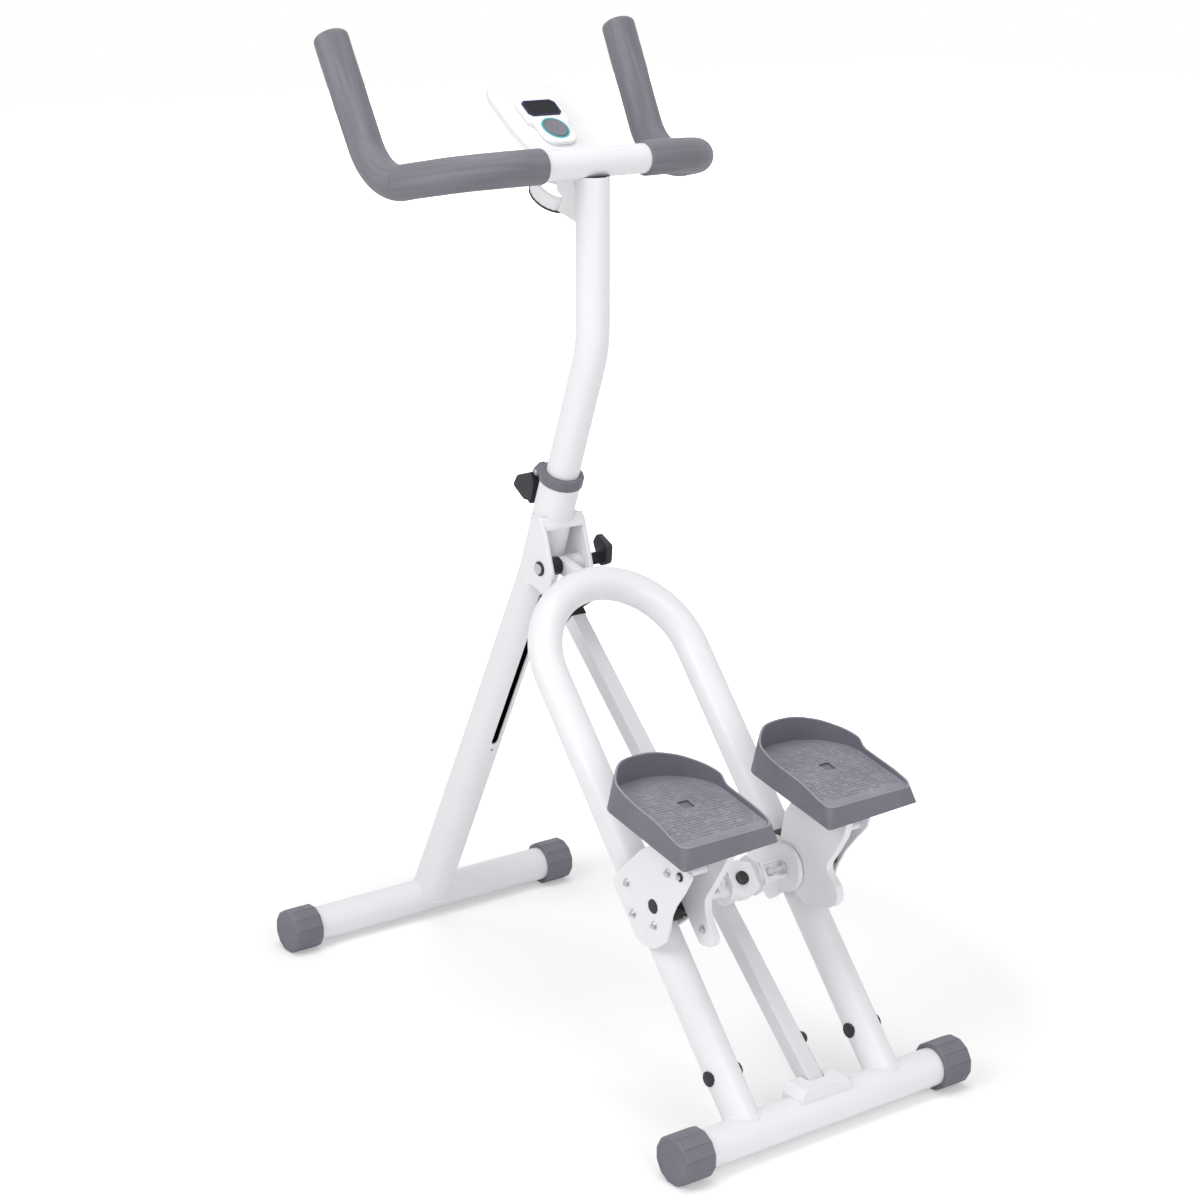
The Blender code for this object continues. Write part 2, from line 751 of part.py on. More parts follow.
washer_in = BRACKET_HALF_WIDTH + SEAT_GAP
washer_out = washer_in + WASHER_THICKNESS
side_frame = frame(PIVOT, Vector((0, 0, 1)), Vector((0, 1, 0)), -ACROSS)
turned("hinge_washer", [
    (HINGE_BOLT_RADIUS + SEAT_GAP, washer_in), (WASHER_RADIUS, washer_in), (WASHER_RADIUS, washer_out),
    (HINGE_BOLT_RADIUS + SEAT_GAP, washer_out), (HINGE_BOLT_RADIUS + SEAT_GAP, washer_in),
], side_frame, DARK, None, 16)
head_low = washer_out + SEAT_GAP
turned("hinge_bolt", [
    (HINGE_BOLT_RADIUS, -BRACKET_HALF_WIDTH - KNOB_STANDOFF - 0.006), (HINGE_BOLT_RADIUS, head_low),
    (HINGE_HEAD_RADIUS, head_low), (HINGE_HEAD_RADIUS, head_low + HINGE_HEAD_HEIGHT * 0.7),
    (HINGE_HEAD_RADIUS * 0.72, head_low + HINGE_HEAD_HEIGHT),
], side_frame, ZINC, None, 16)

knob_frame = frame(PIVOT, Vector((0, 1, 0)), Vector((0, 0, 1)), ACROSS)
knob_axis = joint_frame("knob_axis", PIVOT + ACROSS * BRACKET_HALF_WIDTH)
wing = filleted([
    (0.0190, 0.0200, 0.006), (0.0100, 0.0320, 0.003), (-0.0160, 0.0200, 0.006),
    (-0.0140, -0.0070, 0.006), (0.0030, -0.0150, 0.006),
], 3)
knob_low = BRACKET_HALF_WIDTH + KNOB_STANDOFF
knob = prism(
    "hinge_lock_knob", wing, knob_low, knob_low + KNOB_THICKNESS, knob_frame, DARK, knob_axis, 0.0022, 1
)
boolean(
    knob,
    rod(
        PIVOT + ACROSS * (BRACKET_HALF_WIDTH + SEAT_GAP), PIVOT + ACROSS * (knob_low + 0.004),
        KNOB_HUB_RADIUS, 20, UPRIGHT_DIR
    ),
    "UNION"
)
boolean(
    knob,
    rod(
        PIVOT + ACROSS * 0.02, PIVOT + ACROSS * (knob_low + 0.0066), HINGE_BOLT_RADIUS + SLIDE_GAP, 16,
        UPRIGHT_DIR
    )
)


# Height collar with its ears, pin and clamp lever

collar_frame = frame(STEM_TOP, ACROSS, STEM_DIR.cross(ACROSS), STEM_DIR)
collar_bore = MAST_RADIUS + SLIDE_GAP
sleeve_radius = UPRIGHT_RADIUS - UPRIGHT_WALL - SEAT_GAP
collar = turned("height_collar", [
    (collar_bore, -COLLAR_SLEEVE), (sleeve_radius, -COLLAR_SLEEVE), (sleeve_radius, SEAT_GAP),
    (COLLAR_RADIUS - 0.001, SEAT_GAP), (COLLAR_RADIUS, SEAT_GAP + 0.001), (
        COLLAR_RADIUS, COLLAR_HEIGHT - 0.003
    ),
    (COLLAR_RADIUS - 0.002, COLLAR_HEIGHT), (collar_bore + 0.001, COLLAR_HEIGHT),
    (collar_bore, COLLAR_HEIGHT - 0.002),
    (collar_bore, -COLLAR_SLEEVE),
], collar_frame, GREY)
LEVER_PIVOT = STEM_TOP - STEM_BACK * (COLLAR_RADIUS + LEVER_PIN_OUT) - STEM_DIR * LEVER_PIN_LOW
for sign in (-1, 1):
    near = STEM_TOP + STEM_DIR * (EAR_RADIUS + 0.0012) - STEM_BACK * (COLLAR_RADIUS + 0.0015)
    ear_outline = hull_of_circles([
        (0, 0, EAR_RADIUS),
        ((near - LEVER_PIVOT).y, (near - LEVER_PIVOT).z, EAR_RADIUS),
    ], 18)
    low = sign * (LEVER_HUB_WIDTH / 2 + SLIDE_GAP)
    boolean(
        collar, prism("helper", ear_outline, low, low + sign * EAR_THICKNESS, x_frame(LEVER_PIVOT), HELPER),
        "UNION"
    )
boolean(
    collar,
    rod(LEVER_PIVOT - ACROSS * 0.03, LEVER_PIVOT + ACROSS * 0.03, LEVER_PIN_RADIUS + SEAT_GAP, 12, STEM_DIR)
)
lever_axis = joint_frame("lever_axis", LEVER_PIVOT)
pin_reach = LEVER_HUB_WIDTH / 2 + EAR_THICKNESS + 0.0005
pipe(
    "lever_pin", [LEVER_PIVOT - ACROSS * pin_reach, LEVER_PIVOT + ACROSS * pin_reach], LEVER_PIN_RADIUS, 0.0,
    ZINC, None, 12, up=STEM_DIR
)
hub_radius = LEVER_PIN_OUT - SLIDE_GAP - 0.0006
lever = prism("height_lever", hull_of_circles([(0, 0, hub_radius), (0.0220, -0.0120, 0.0070)], 18),
              -LEVER_HUB_WIDTH / 2, LEVER_HUB_WIDTH / 2, x_frame(LEVER_PIVOT), GREY, lever_axis)
grip_outline = filleted([
    (0.0105, 0.0000, 0.003),
    (LEVER_REACH - 0.012, -0.0110, 0.006),
    (LEVER_REACH, -LEVER_DROP + 0.016, 0.006),
    (LEVER_REACH - 0.017, -LEVER_DROP, 0.005),
    (LEVER_REACH - 0.038, -LEVER_DROP - 0.002, 0.004),
    (LEVER_REACH - 0.048, -LEVER_DROP - 0.006, 0.002),
    (0.0010, -0.0180, 0.006),
], 3)
boolean(
    lever,
    prism(
        "helper", grip_outline, -LEVER_WIDTH / 2, LEVER_WIDTH / 2, x_frame(LEVER_PIVOT), HELPER, None, 0.0020
    ),
    "UNION"
)
boolean(
    lever,
    rod(LEVER_PIVOT - ACROSS * 0.03, LEVER_PIVOT + ACROSS * 0.03, LEVER_PIN_RADIUS + SLIDE_GAP, 12, STEM_DIR)
)


# Mast and handlebar

mast_low = STEM_TOP - STEM_DIR * MAST_INSERT
mast_path = bent_path([mast_low, MAST_KNEE, Vector((0, MAST_KNEE.y, MAST_TOP))], [MAST_BEND], radians(5))
mast = pipe("mast", mast_path, MAST_RADIUS, MAST_RADIUS - MAST_WALL, WHITE, mast_axis, bore_sides=TUBE_SIDES)
boolean(
    mast,
    rod(
        CROSSBAR - ACROSS * 0.06, CROSSBAR + ACROSS * 0.06, BAR_RADIUS + SEAT_GAP, BAR_SIDES,
        Vector((0, 0, 1))
    )
)


def bar_corners(side, end=0.0):
    """Handlebar corners on one side, from the middle to the horn's tip, shortened by end."""
    elbow = CROSSBAR + Vector((side * BAR_HALF_WIDTH, 0, 0))
    wrist = elbow + Vector((0, BAR_REACH, -BAR_DROP))
    tip = wrist + Vector((side * HORN_SPREAD, HORN_REACH, HORN_RISE))
    return [elbow, wrist, tip - (tip - wrist).normalized() * end]


def bar_side(side, end):
    """Swept line on one side, from the middle of the crossbar."""
    return bent_path([CROSSBAR, *bar_corners(side, end)], [BAR_BEND, HORN_BEND], radians(14))


def bar_rings(radius, sides):
    """Rings of the whole handlebar, swept from its middle to each tip."""
    halves = []
    for side in (-1, 1):
        line = [p - CROSSBAR for p in bar_side(side, BAR_TIP_INSET)]
        halves.append(sweep_rings(line, [radius] * len(line), sides, Vector((0, 0, 1))))
    left = [[ring[-k] for k in range(sides)] for ring in halves[0]]
    return left[:0:-1] + halves[1][1:]


add_object("handlebar_tube", hollow_mesh(bar_rings(BAR_RADIUS, BAR_SIDES),
bar_rings(BAR_RADIUS - BAR_WALL, BORE_SIDES)),
           Matrix.Translation(CROSSBAR), WHITE, mast_axis)


def foam_grip(name, side):
    """Foam sleeve over one horn, closed and domed at its tip."""
    line = bar_side(side, BAR_TIP_INSET)[1:]
    start = CROSSBAR + ACROSS * side * FOAM_START
    aim = (line[-1] - line[-2]).normalized()
    outer = BAR_RADIUS + FOAM_THICKNESS
    bore = BAR_RADIUS + SEAT_GAP
    inner_line = [start] + line
    inner_line[-1] = line[-1] + aim * SEAT_GAP
    dome = BAR_TIP_INSET
    outer_line = [start, start + ACROSS * side * 0.002] + line + [line[-1] + aim * (dome - FOAM_TIP)]
    sizes = [outer - 0.0012] + [outer] * (len(outer_line) - 1)
    for turn in (25, 50, 72):
        outer_line.append(line[-1] + aim * (dome - FOAM_TIP + FOAM_TIP * sin(radians(turn))))
        sizes.append(outer * (0.35 + 0.65 * cos(radians(turn))))
    up = Vector((0, 0, 1))
    skin = sweep_rings(outer_line, sizes, BAR_SIDES, up)
    hole = sweep_rings(inner_line, [bore] * len(inner_line), BAR_SIDES, up)
    bm = rings_mesh(hole[::-1] + skin)
    origin = start.copy()
    bmesh.ops.translate(bm, verts=bm.verts, vec=-origin)
    add_object(name, bm, Matrix.Translation(origin), FOAM, mast_axis, 40)


foam_grip("foam_grip_left", -1)
foam_grip("foam_grip_right", 1)


# Console: plate, module, display, button, and the hoop that carries the plate

plate_up = direction(CONSOLE_TILT)
plate_out = Vector((0, -plate_up.z, plate_up.y))
CONSOLE = CROSSBAR + Vector((0, CONSOLE_FORWARD, CONSOLE_LIFT))


def console_frame(out=0.0):
    """Outlines given as (x, along the plate), raised out of its face."""
    return frame(CONSOLE + plate_out * out, ACROSS, plate_up, plate_out)


half = CONSOLE_HALF_WIDTH
plate_outline = filleted([
    (-half * 0.80, CONSOLE_BOTTOM, 0.010),
    (half * 0.80, CONSOLE_BOTTOM, 0.010),
    (half, CONSOLE_TOP * 0.33, 0.080),
    (half, CONSOLE_TOP, half * 0.995),
    (-half, CONSOLE_TOP, half * 0.995),
    (-half, CONSOLE_TOP * 0.33, 0.080),
], 9)
prism(
    "console_plate", plate_outline, -CONSOLE_THICKNESS, 0.0, console_frame(), WHITE_PLASTIC, mast_axis,
    0.0024, 2
)

module_outline = filleted([
    (-MODULE_HALF_WIDTH, MODULE_TOP, 0.010),
    (-MODULE_HALF_WIDTH, MODULE_WAIST, 0.005),
    (-PILL_RADIUS, MODULE_WAIST - 0.009, 0.005),
    (-PILL_RADIUS, BUTTON_CENTRE - PILL_RADIUS * 1.08, PILL_RADIUS * 0.99),
    (PILL_RADIUS, BUTTON_CENTRE - PILL_RADIUS * 1.08, PILL_RADIUS * 0.99),
    (PILL_RADIUS, MODULE_WAIST - 0.009, 0.005),
    (MODULE_HALF_WIDTH, MODULE_WAIST, 0.005),
    (MODULE_HALF_WIDTH, MODULE_TOP, 0.010),
], 5)
module = prism(
    "console_module", module_outline, SEAT_GAP, MODULE_HEIGHT, console_frame(), WHITE_PLASTIC, mast_axis,
    0.0016
)
ring_outer = BUTTON_RADIUS + SLIDE_GAP + BUTTON_RING
well_floor = MODULE_HEIGHT - BUTTON_PROUD - BUTTON_TRAVEL - 0.0020
button_spot = console_frame() @ Matrix.Translation((0, BUTTON_CENTRE, 0))
well = [(ring_outer + SEAT_GAP, well_floor), (ring_outer + SEAT_GAP, MODULE_HEIGHT + 0.01)]
boolean(module, turned("helper", well, button_spot, HELPER, None, 24))
display_middle = (DISPLAY_LOW + DISPLAY_HIGH) / 2


def display_outline(margin=0.0):
    corner = 0.0055
    w = DISPLAY_HALF_WIDTH + margin
    low, high = DISPLAY_LOW - margin, DISPLAY_HIGH + margin
    return [
        (-w + corner, low), (w - corner, low), (w, low + corner), (w, high - corner),
        (w - corner, high), (-w + corner, high), (-w, high - corner), (-w, low + corner),
    ]


boolean(
    module,
    prism(
        "helper", display_outline(SEAT_GAP), MODULE_HEIGHT - DISPLAY_SINK, MODULE_HEIGHT + 0.01,
        console_frame(), HELPER
    )
)
prism("console_display", display_outline(), MODULE_HEIGHT - DISPLAY_SINK + SEAT_GAP, MODULE_HEIGHT + DISPLAY_PROUD,
      console_frame(), GLASS, mast_axis, 0.0006)
ring_low = well_floor + SEAT_GAP
ring_top = MODULE_HEIGHT + 0.0008
ring_inner = BUTTON_RADIUS + SLIDE_GAP
turned("button_ring", [
    (ring_inner, ring_low), (ring_outer, ring_low),
    (ring_outer, ring_top - 0.0006), (ring_outer - 0.0006, ring_top),
    (ring_inner, ring_top), (ring_inner, ring_low),
], button_spot, TEAL, mast_axis, 24)
button_axis = joint_frame("button_axis", CONSOLE + plate_up * BUTTON_CENTRE)
button_low = well_floor + BUTTON_TRAVEL + 0.0005
turned("console_button", [
    (BUTTON_RADIUS, button_low), (BUTTON_RADIUS, MODULE_HEIGHT + BUTTON_PROUD - 0.0008),
    (BUTTON_RADIUS - 0.0012, MODULE_HEIGHT + BUTTON_PROUD),
], button_spot, GREY, button_axis, 24)

hoop_centre = CONSOLE + plate_up * HOOP_ALONG - plate_out * (CONSOLE_THICKNESS + HOOP_BELOW)
hoop_frame = frame(hoop_centre, ACROSS, plate_up, plate_out)
hoop_profile = [
    (HOOP_RADIUS - HOOP_WALL, -HOOP_DEPTH / 2), (HOOP_RADIUS - 0.0015, -HOOP_DEPTH / 2),
    (HOOP_RADIUS, -HOOP_DEPTH / 2 + 0.0015),
    (HOOP_RADIUS, HOOP_DEPTH / 2 - 0.0015), (HOOP_RADIUS - 0.0015, HOOP_DEPTH / 2), (
        HOOP_RADIUS - HOOP_WALL, HOOP_DEPTH / 2
    ),
    (HOOP_RADIUS - HOOP_WALL, -HOOP_DEPTH / 2),
]
hoop = turned("console_hoop", hoop_profile, hoop_frame, WHITE_PLASTIC, mast_axis, 24)
shelf = CONSOLE - plate_out * (CONSOLE_THICKNESS + SEAT_GAP)
mast_front = CROSSBAR + Vector((0, MAST_RADIUS - 0.004, 0))
stay_outline = [
    tuple((p - CROSSBAR).yz) for p in (
        shelf + plate_up * (CONSOLE_BOTTOM + 0.004),
        shelf + plate_up * (CONSOLE_BOTTOM + 0.034),
        hoop_centre - plate_up * (HOOP_RADIUS - 0.016) + plate_out * (HOOP_DEPTH / 2 - 0.002),
        hoop_centre - plate_up * (HOOP_RADIUS - 0.003) - plate_out * (HOOP_DEPTH / 2 - 0.003),
        mast_front - Vector((0, 0, 0.082)),
        mast_front - Vector((0, 0, 0.040)),
    )
]
stay = prism("helper", stay_outline, -ARM_WIDTH / 2, ARM_WIDTH / 2, x_frame(CROSSBAR), HELPER)
hole_reach = HOOP_DEPTH / 2 + 0.003
boolean(stay, turned("helper", [(HOOP_RADIUS - HOOP_WALL / 2, -hole_reach), (HOOP_RADIUS - HOOP_WALL / 2, hole_reach)],
                     hoop_frame, HELPER, None, 24))
boolean(hoop, stay, "UNION")
boolean(
    hoop,
    rod(Vector((0, MAST_KNEE.y, 1.0)), Vector((0, MAST_KNEE.y, MAST_TOP + 0.1)), MAST_RADIUS + SEAT_GAP)
)
boolean(
    hoop,
    rod(
        CROSSBAR - ACROSS * 0.06, CROSSBAR + ACROSS * 0.06, BAR_RADIUS + SEAT_GAP, BAR_SIDES,
        Vector((0, 0, 1))
    )
)


# Rear frame: one tube bent over the top into two rails

bend_centre = RAIL_LENGTH - RAIL_SPREAD
rail_line = [rail_point(-RAIL_SPREAD, 0.010, 0)]
for k in range(17):
    turn = pi - pi * k / 16
    rail_line.append(rail_point(RAIL_SPREAD * cos(turn), bend_centre + RAIL_SPREAD * sin(turn), 0))
rail_line.append(rail_point(RAIL_SPREAD, 0.010, 0))
rail = pipe(
    "rail_frame_tube", rail_line, RAIL_RADIUS, RAIL_RADIUS - RAIL_WALL, WHITE, fold_axis, TUBE_SIDES,
    BORE_SIDES, RAIL_OUT
)
boolean(
    rail,
    rod(REAR_FOOT - ACROSS * 0.20, REAR_FOOT + ACROSS * 0.20, BASE_RADIUS + SEAT_GAP, up=Vector((0, 0, 1)))
)


def rail_cutter():
    return pipe("helper", rail_line, RAIL_RADIUS + SEAT_GAP, 0.0, HELPER, None, TUBE_SIDES, up=RAIL_OUT)


for side, label in ((-1, "left"), (1, "right")):
    for face, where in ((-1, "outer"), (1, "inner")):
        facing = side * -face
        centre = rail_point(side * RAIL_SPREAD, PLUG_UP, 0)
        spot = frame(centre, RAIL_OUT, ACROSS.cross(RAIL_OUT) * facing, ACROSS * facing)
        plug = turned("rail_plug_%s_%s" % (label, where), [
            (PLUG_RADIUS, RAIL_RADIUS - 0.006), (PLUG_RADIUS, RAIL_RADIUS + PLUG_PROUD * 0.45),
            (PLUG_RADIUS * 0.82, RAIL_RADIUS + PLUG_PROUD * 0.85),
            (PLUG_RADIUS * 0.4, RAIL_RADIUS + PLUG_PROUD),
        ], spot, DARK, fold_axis, 12)
        boolean(plug, rail_cutter())
        boolean(
            plug,
            rod(
                centre + ACROSS * facing * (RAIL_RADIUS - 0.008),
                centre + ACROSS * facing * (RAIL_RADIUS + 0.001), PLUG_STEM, 8, RAIL_OUT
            ),
            "UNION"
        )
        boolean(
            rail,
            rod(
                centre + ACROSS * facing * (RAIL_RADIUS - 0.010),
                centre + ACROSS * facing * (RAIL_RADIUS + 0.010), PLUG_STEM + SEAT_GAP, 8, RAIL_OUT
            )
        )

TONGUE_ROOT = rail_point(0, RAIL_LENGTH, 0)
root = TONGUE_ROOT - PIVOT
tongue = prism("hinge_tongue", hull_of_circles([(0, 0, TONGUE_RADIUS), (root.y, root.z, RAIL_RADIUS * 0.50)]),
               -TONGUE_HALF_WIDTH, TONGUE_HALF_WIDTH, x_frame(PIVOT), WHITE, fold_axis, 0.0012)
boolean(tongue, rail_cutter())
behind = block(
    (-0.05, -0.06, -0.06), (0.05, 0.0, 0.06),
    frame(
        TONGUE_ROOT, ACROSS, (PIVOT - TONGUE_ROOT).normalized(),
        ACROSS.cross((PIVOT - TONGUE_ROOT).normalized())
    )
)
boolean(tongue, behind)
boolean(
    tongue, rod(PIVOT - ACROSS * 0.06, PIVOT + ACROSS * 0.06, HINGE_BOLT_RADIUS + SLIDE_GAP, 16, UPRIGHT_DIR)
)
bush_in = TONGUE_HALF_WIDTH + SEAT_GAP
bush_out = cheek_inner - SLIDE_GAP
for sign, label in ((1, "left"), (-1, "right")):
    bore = HINGE_BOLT_RADIUS + SLIDE_GAP
    spot = frame(PIVOT, Vector((0, 0, 1)), Vector((0, 1, 0)) * sign, -ACROSS * sign)
    turned("hinge_bush_%s" % label, [
        (bore, bush_in), (BUSH_RADIUS, bush_in), (BUSH_RADIUS, bush_out - 0.002), (
            BUSH_RADIUS + 0.0015, bush_out - 0.002
        ),
        (BUSH_RADIUS + 0.0015, bush_out), (bore, bush_out), (bore, bush_in),
    ], spot, DARK, fold_axis, 16)


# Centre bar: square tube from the rear base to the top of the bend

def bar_point(along, out=0.0, x=0.0):
    return REAR_FOOT + ACROSS * x + BAR_DIR * along + BAR_OUT * (BAR_OFFSET + out)


bar_frame = frame(bar_point(0), ACROSS, BAR_OUT, ACROSS.cross(BAR_OUT))
bar_sign = 1 if bar_frame.to_3x3().col[2].dot(BAR_DIR) > 0 else -1


def square(half_size, corner):
    return filleted(
        [
            (-half_size, -half_size, corner), (half_size, -half_size, corner),
            (half_size, half_size, corner), (-half_size, half_size, corner)
        ],
        3
    )


half_bar = BAR_SIZE / 2
bar = prism(
    "centre_bar", square(half_bar, 0.0025), bar_sign * BAR_START, bar_sign * BAR_END, bar_frame, WHITE,
    fold_axis
)
boolean(
    bar,
    prism(
        "helper", square(half_bar - BAR_SQUARE_WALL, 0.0012), bar_sign * (BAR_START - 0.02),
        bar_sign * (BAR_END + 0.02), bar_frame, HELPER
    )
)
boolean(bar, base_cutter(REAR_FOOT))


def bar_cutter(gap):
    return prism(
        "helper", square(half_bar + gap, 0.0025 + gap), bar_sign * (BAR_START - 0.05),
        bar_sign * (BAR_END + gap), bar_frame, HELPER
    )


saddle_front = SADDLE_DEPTH * 0.62
saddle_back = SADDLE_DEPTH - saddle_front
saddle_frame = frame(REAR_FOOT, ACROSS, Vector((0, 0, 1)), Vector((0, -1, 0)))
saddle_outline = filleted([
    (-SADDLE_HALF_LOW, SADDLE_TOP * 0.35, 0.003),
    (SADDLE_HALF_LOW, SADDLE_TOP * 0.35, 0.003),
    (SADDLE_HALF_LOW, SADDLE_TOP * 0.70, 0.004),
    (SADDLE_HALF_TOP, SADDLE_TOP, 0.004),
    (-SADDLE_HALF_TOP, SADDLE_TOP, 0.004),
    (-SADDLE_HALF_LOW, SADDLE_TOP * 0.70, 0.004),
])
saddle = prism(
    "bar_saddle", saddle_outline, -saddle_front, saddle_back, saddle_frame, WHITE, fold_axis, 0.0020
)
boolean(saddle, base_cutter(REAR_FOOT))
boolean(saddle, bar_cutter(0.0016))

bumper_spot = frame(bar_point(BUMPER_UP, 0.001), BAR_DIR, BAR_OUT, BAR_DIR.cross(BAR_OUT))
bumper_sign = bumper_spot.to_3x3().col[2].x
if bumper_sign < 0:
    bumper_spot = frame(bar_point(BUMPER_UP, 0.001), BAR_OUT, BAR_DIR, BAR_OUT.cross(BAR_DIR))
bumper_base = half_bar + SEAT_GAP
turned("bar_bumper", [
    (BUMPER_RADIUS, bumper_base), (BUMPER_RADIUS, bumper_base + BUMPER_PROUD * 0.45),
    (BUMPER_RADIUS * 0.80, bumper_base + BUMPER_PROUD * 0.82),
    (BUMPER_RADIUS * 0.40, bumper_base + BUMPER_PROUD),
], bumper_spot, DARK, fold_axis, 16)
strip_high = BUMPER_UP - BUMPER_RADIUS - 0.004
strip_outline = filleted([
    (strip_high - STRIP_LENGTH, -0.009, 0.002), (strip_high, -0.009, 0.002), (strip_high, 0.009, 0.002),
    (strip_high - STRIP_LENGTH, 0.009, 0.002),
], 2)
strip_spot = frame(bar_point(0), BAR_DIR, BAR_OUT, ACROSS)
strip = prism(
    "bar_strip", strip_outline, bumper_base, bumper_base + STRIP_THICKNESS, strip_spot, BLACK, fold_axis
)
boolean(
    strip, prism("helper", saddle_outline, -saddle_front - 0.001, saddle_back + 0.001, saddle_frame, HELPER)
)
boolean(strip, base_cutter(REAR_FOOT, 0.0015))

# Foot that ties the bar's upper end to the bend
bar_top = bar_point(BAR_END)
top_outline = [
    tuple((p - bar_top).yz) for p in (
        bar_point(BAR_END + SEAT_GAP, -half_bar),
        bar_point(BAR_END + 0.012, -half_bar),
        rail_point(0, RAIL_LENGTH, -TOP_FOOT_UNDER),
        rail_point(0, RAIL_LENGTH - TOP_FOOT_BACK, -TOP_FOOT_RISE),
        bar_point(BAR_END + 0.010, half_bar),
        bar_point(BAR_END + SEAT_GAP, half_bar),
    )
]
top_foot = prism(
    "bar_top_foot", top_outline, -half_bar - 0.001, half_bar + 0.001, x_frame(bar_top), BLACK, fold_axis
)
boolean(top_foot, rail_cutter())


# Rocker and its mount on the centre bar

def plane_frame(out=0.0):
    """Outlines given as (x, along the rails), raised out of the rails' plane."""
    return frame(rail_point(0, CARRIAGE_UP, out), ACROSS, RAIL_DIR, ACROSS.cross(RAIL_DIR))


plane_sign = 1 if plane_frame().to_3x3().col[2].dot(RAIL_OUT) > 0 else -1
rocker_axis = joint_frame("rocker_axis", rail_point(0, CARRIAGE_UP, ROCKER_LOW))


def flat(name, outline, low, high, mat, parent, chamfer=0.0):
    return prism(name, outline, plane_sign * low, plane_sign * high, plane_frame(), mat, parent, chamfer)


def hexagon(radius, centre):
    return circle(radius, 6, centre, 0.3)


fork_half = ROCKER_FORK_GAP + ROCKER_FORK_WALL
fork_mouth = ROCKER_FORK_GAP + ROCKER_FORK_FLARE
fork_root = PIN_BALL_AT - PIN_BALL_RADIUS - 0.0050
rocker_outline = filleted([
    (-ROCKER_TIP, -fork_half, 0.003), (-fork_root, -fork_half, 0.004), (
        -ROCKER_HUB_RADIUS - 0.003, -ROCKER_HUB_RADIUS * 0.95, 0.006
    ),
    (-0.008, -ROCKER_HUB_RADIUS - 0.006, 0.010), (0.008, -ROCKER_HUB_RADIUS - 0.006, 0.010),
    (ROCKER_HUB_RADIUS + 0.003, -ROCKER_HUB_RADIUS * 0.95, 0.006), (fork_root, -fork_half, 0.004),
    (ROCKER_TIP, -fork_half, 0.003),
    (ROCKER_TIP, fork_half, 0.003), (fork_root, fork_half, 0.004), (
        ROCKER_HUB_RADIUS + 0.003, ROCKER_HUB_RADIUS * 0.95, 0.006
    ),
    (0.008, ROCKER_HUB_RADIUS + 0.006, 0.010), (-0.008, ROCKER_HUB_RADIUS + 0.006, 0.010),
    (-ROCKER_HUB_RADIUS - 0.003, ROCKER_HUB_RADIUS * 0.95, 0.006), (-fork_root, fork_half, 0.004),
    (-ROCKER_TIP, fork_half, 0.003),
], 2)
rocker = flat("rocker", rocker_outline, ROCKER_LOW, ROCKER_HIGH, WHITE, rocker_axis, 0.0015)
for sign in (-1, 1):
    rib_outline = filleted([
        (-0.0240, RIB_LOW + 0.010, 0.010), (-0.0120, RIB_LOW, 0.010), (0.0180, RIB_LOW, 0.010),
        (0.0300, RIB_LOW + 0.012, 0.010),
        (0.0300, ROCKER_HIGH - 0.002, 0.004), (0.0100, ROCKER_HIGH + 0.012, 0.010),
        (-0.0140, ROCKER_HIGH + 0.010, 0.010), (-0.0240, ROCKER_HIGH - 0.004, 0.006),
    ], 3)
    low = sign * RIB_AT
    boolean(
        rocker, prism("helper", rib_outline, low, low + sign * RIB_THICKNESS, rail_frame(), HELPER), "UNION"
    )
    slot = [
        (sign * fork_root, -ROCKER_FORK_GAP),
        (sign * PIN_BALL_AT, -ROCKER_FORK_GAP), (sign * ROCKER_TIP, -fork_mouth),
        (sign * (ROCKER_TIP + 0.01), -fork_mouth), (sign * (ROCKER_TIP + 0.01), fork_mouth),
        (sign * ROCKER_TIP, fork_mouth),
        (sign * PIN_BALL_AT, ROCKER_FORK_GAP), (sign * fork_root, ROCKER_FORK_GAP),
    ]
    boolean(
        rocker,
        flat("helper", slot if sign > 0 else slot[::-1], ROCKER_LOW - 0.01, ROCKER_HIGH + 0.01, HELPER, None)
    )
    screw = hexagon(0.0055, (sign * (fork_root - 0.0105), 0.0))
    boolean(rocker, flat("helper", screw, ROCKER_HIGH - 0.002, ROCKER_HIGH + 0.0038, HELPER, None), "UNION")
boolean(
    rocker,
    flat("helper", circle(ROCKER_AXLE + SLIDE_GAP, 16), ROCKER_LOW - 0.01, ROCKER_HIGH + 0.01, HELPER, None)
)

axle_frame = frame(rail_point(0, CARRIAGE_UP, 0), ACROSS, ACROSS.cross(RAIL_OUT) * -1, RAIL_OUT)
axle_head = ROCKER_HIGH + SLIDE_GAP
turned("rocker_axle", [
    (ROCKER_AXLE, 0.004), (ROCKER_AXLE, axle_head), (ROCKER_HEAD, axle_head), (
        ROCKER_HEAD, axle_head + 0.0035
    ),
    (ROCKER_HEAD * 0.6, axle_head + 0.0058),
], axle_frame, ZINC, fold_axis, 16)
mount_top = ROCKER_LOW - SLIDE_GAP
mount = turned("rocker_mount", [
    (MOUNT_RADIUS, -0.040), (MOUNT_RADIUS, 0.004), (MOUNT_RADIUS * 0.80, 0.012), (
        MOUNT_RADIUS * 0.74, mount_top - 0.006
    ),
    (MOUNT_RADIUS * 0.95, mount_top - 0.002), (MOUNT_RADIUS * 0.95, mount_top),
], axle_frame, WHITE, fold_axis, 24)
boolean(mount, block((-0.05, -0.10, -0.9), (0.05, half_bar + SEAT_GAP, 0.9), bar_frame))
boolean(mount, flat("helper", circle(ROCKER_AXLE + SEAT_GAP, 16), 0.0037, ROCKER_LOW + 0.01, HELPER, None))
boolean(mount, block((-0.05, -0.05, -0.10), (-half_bar - 0.002, 0.05, 0.008), axle_frame))
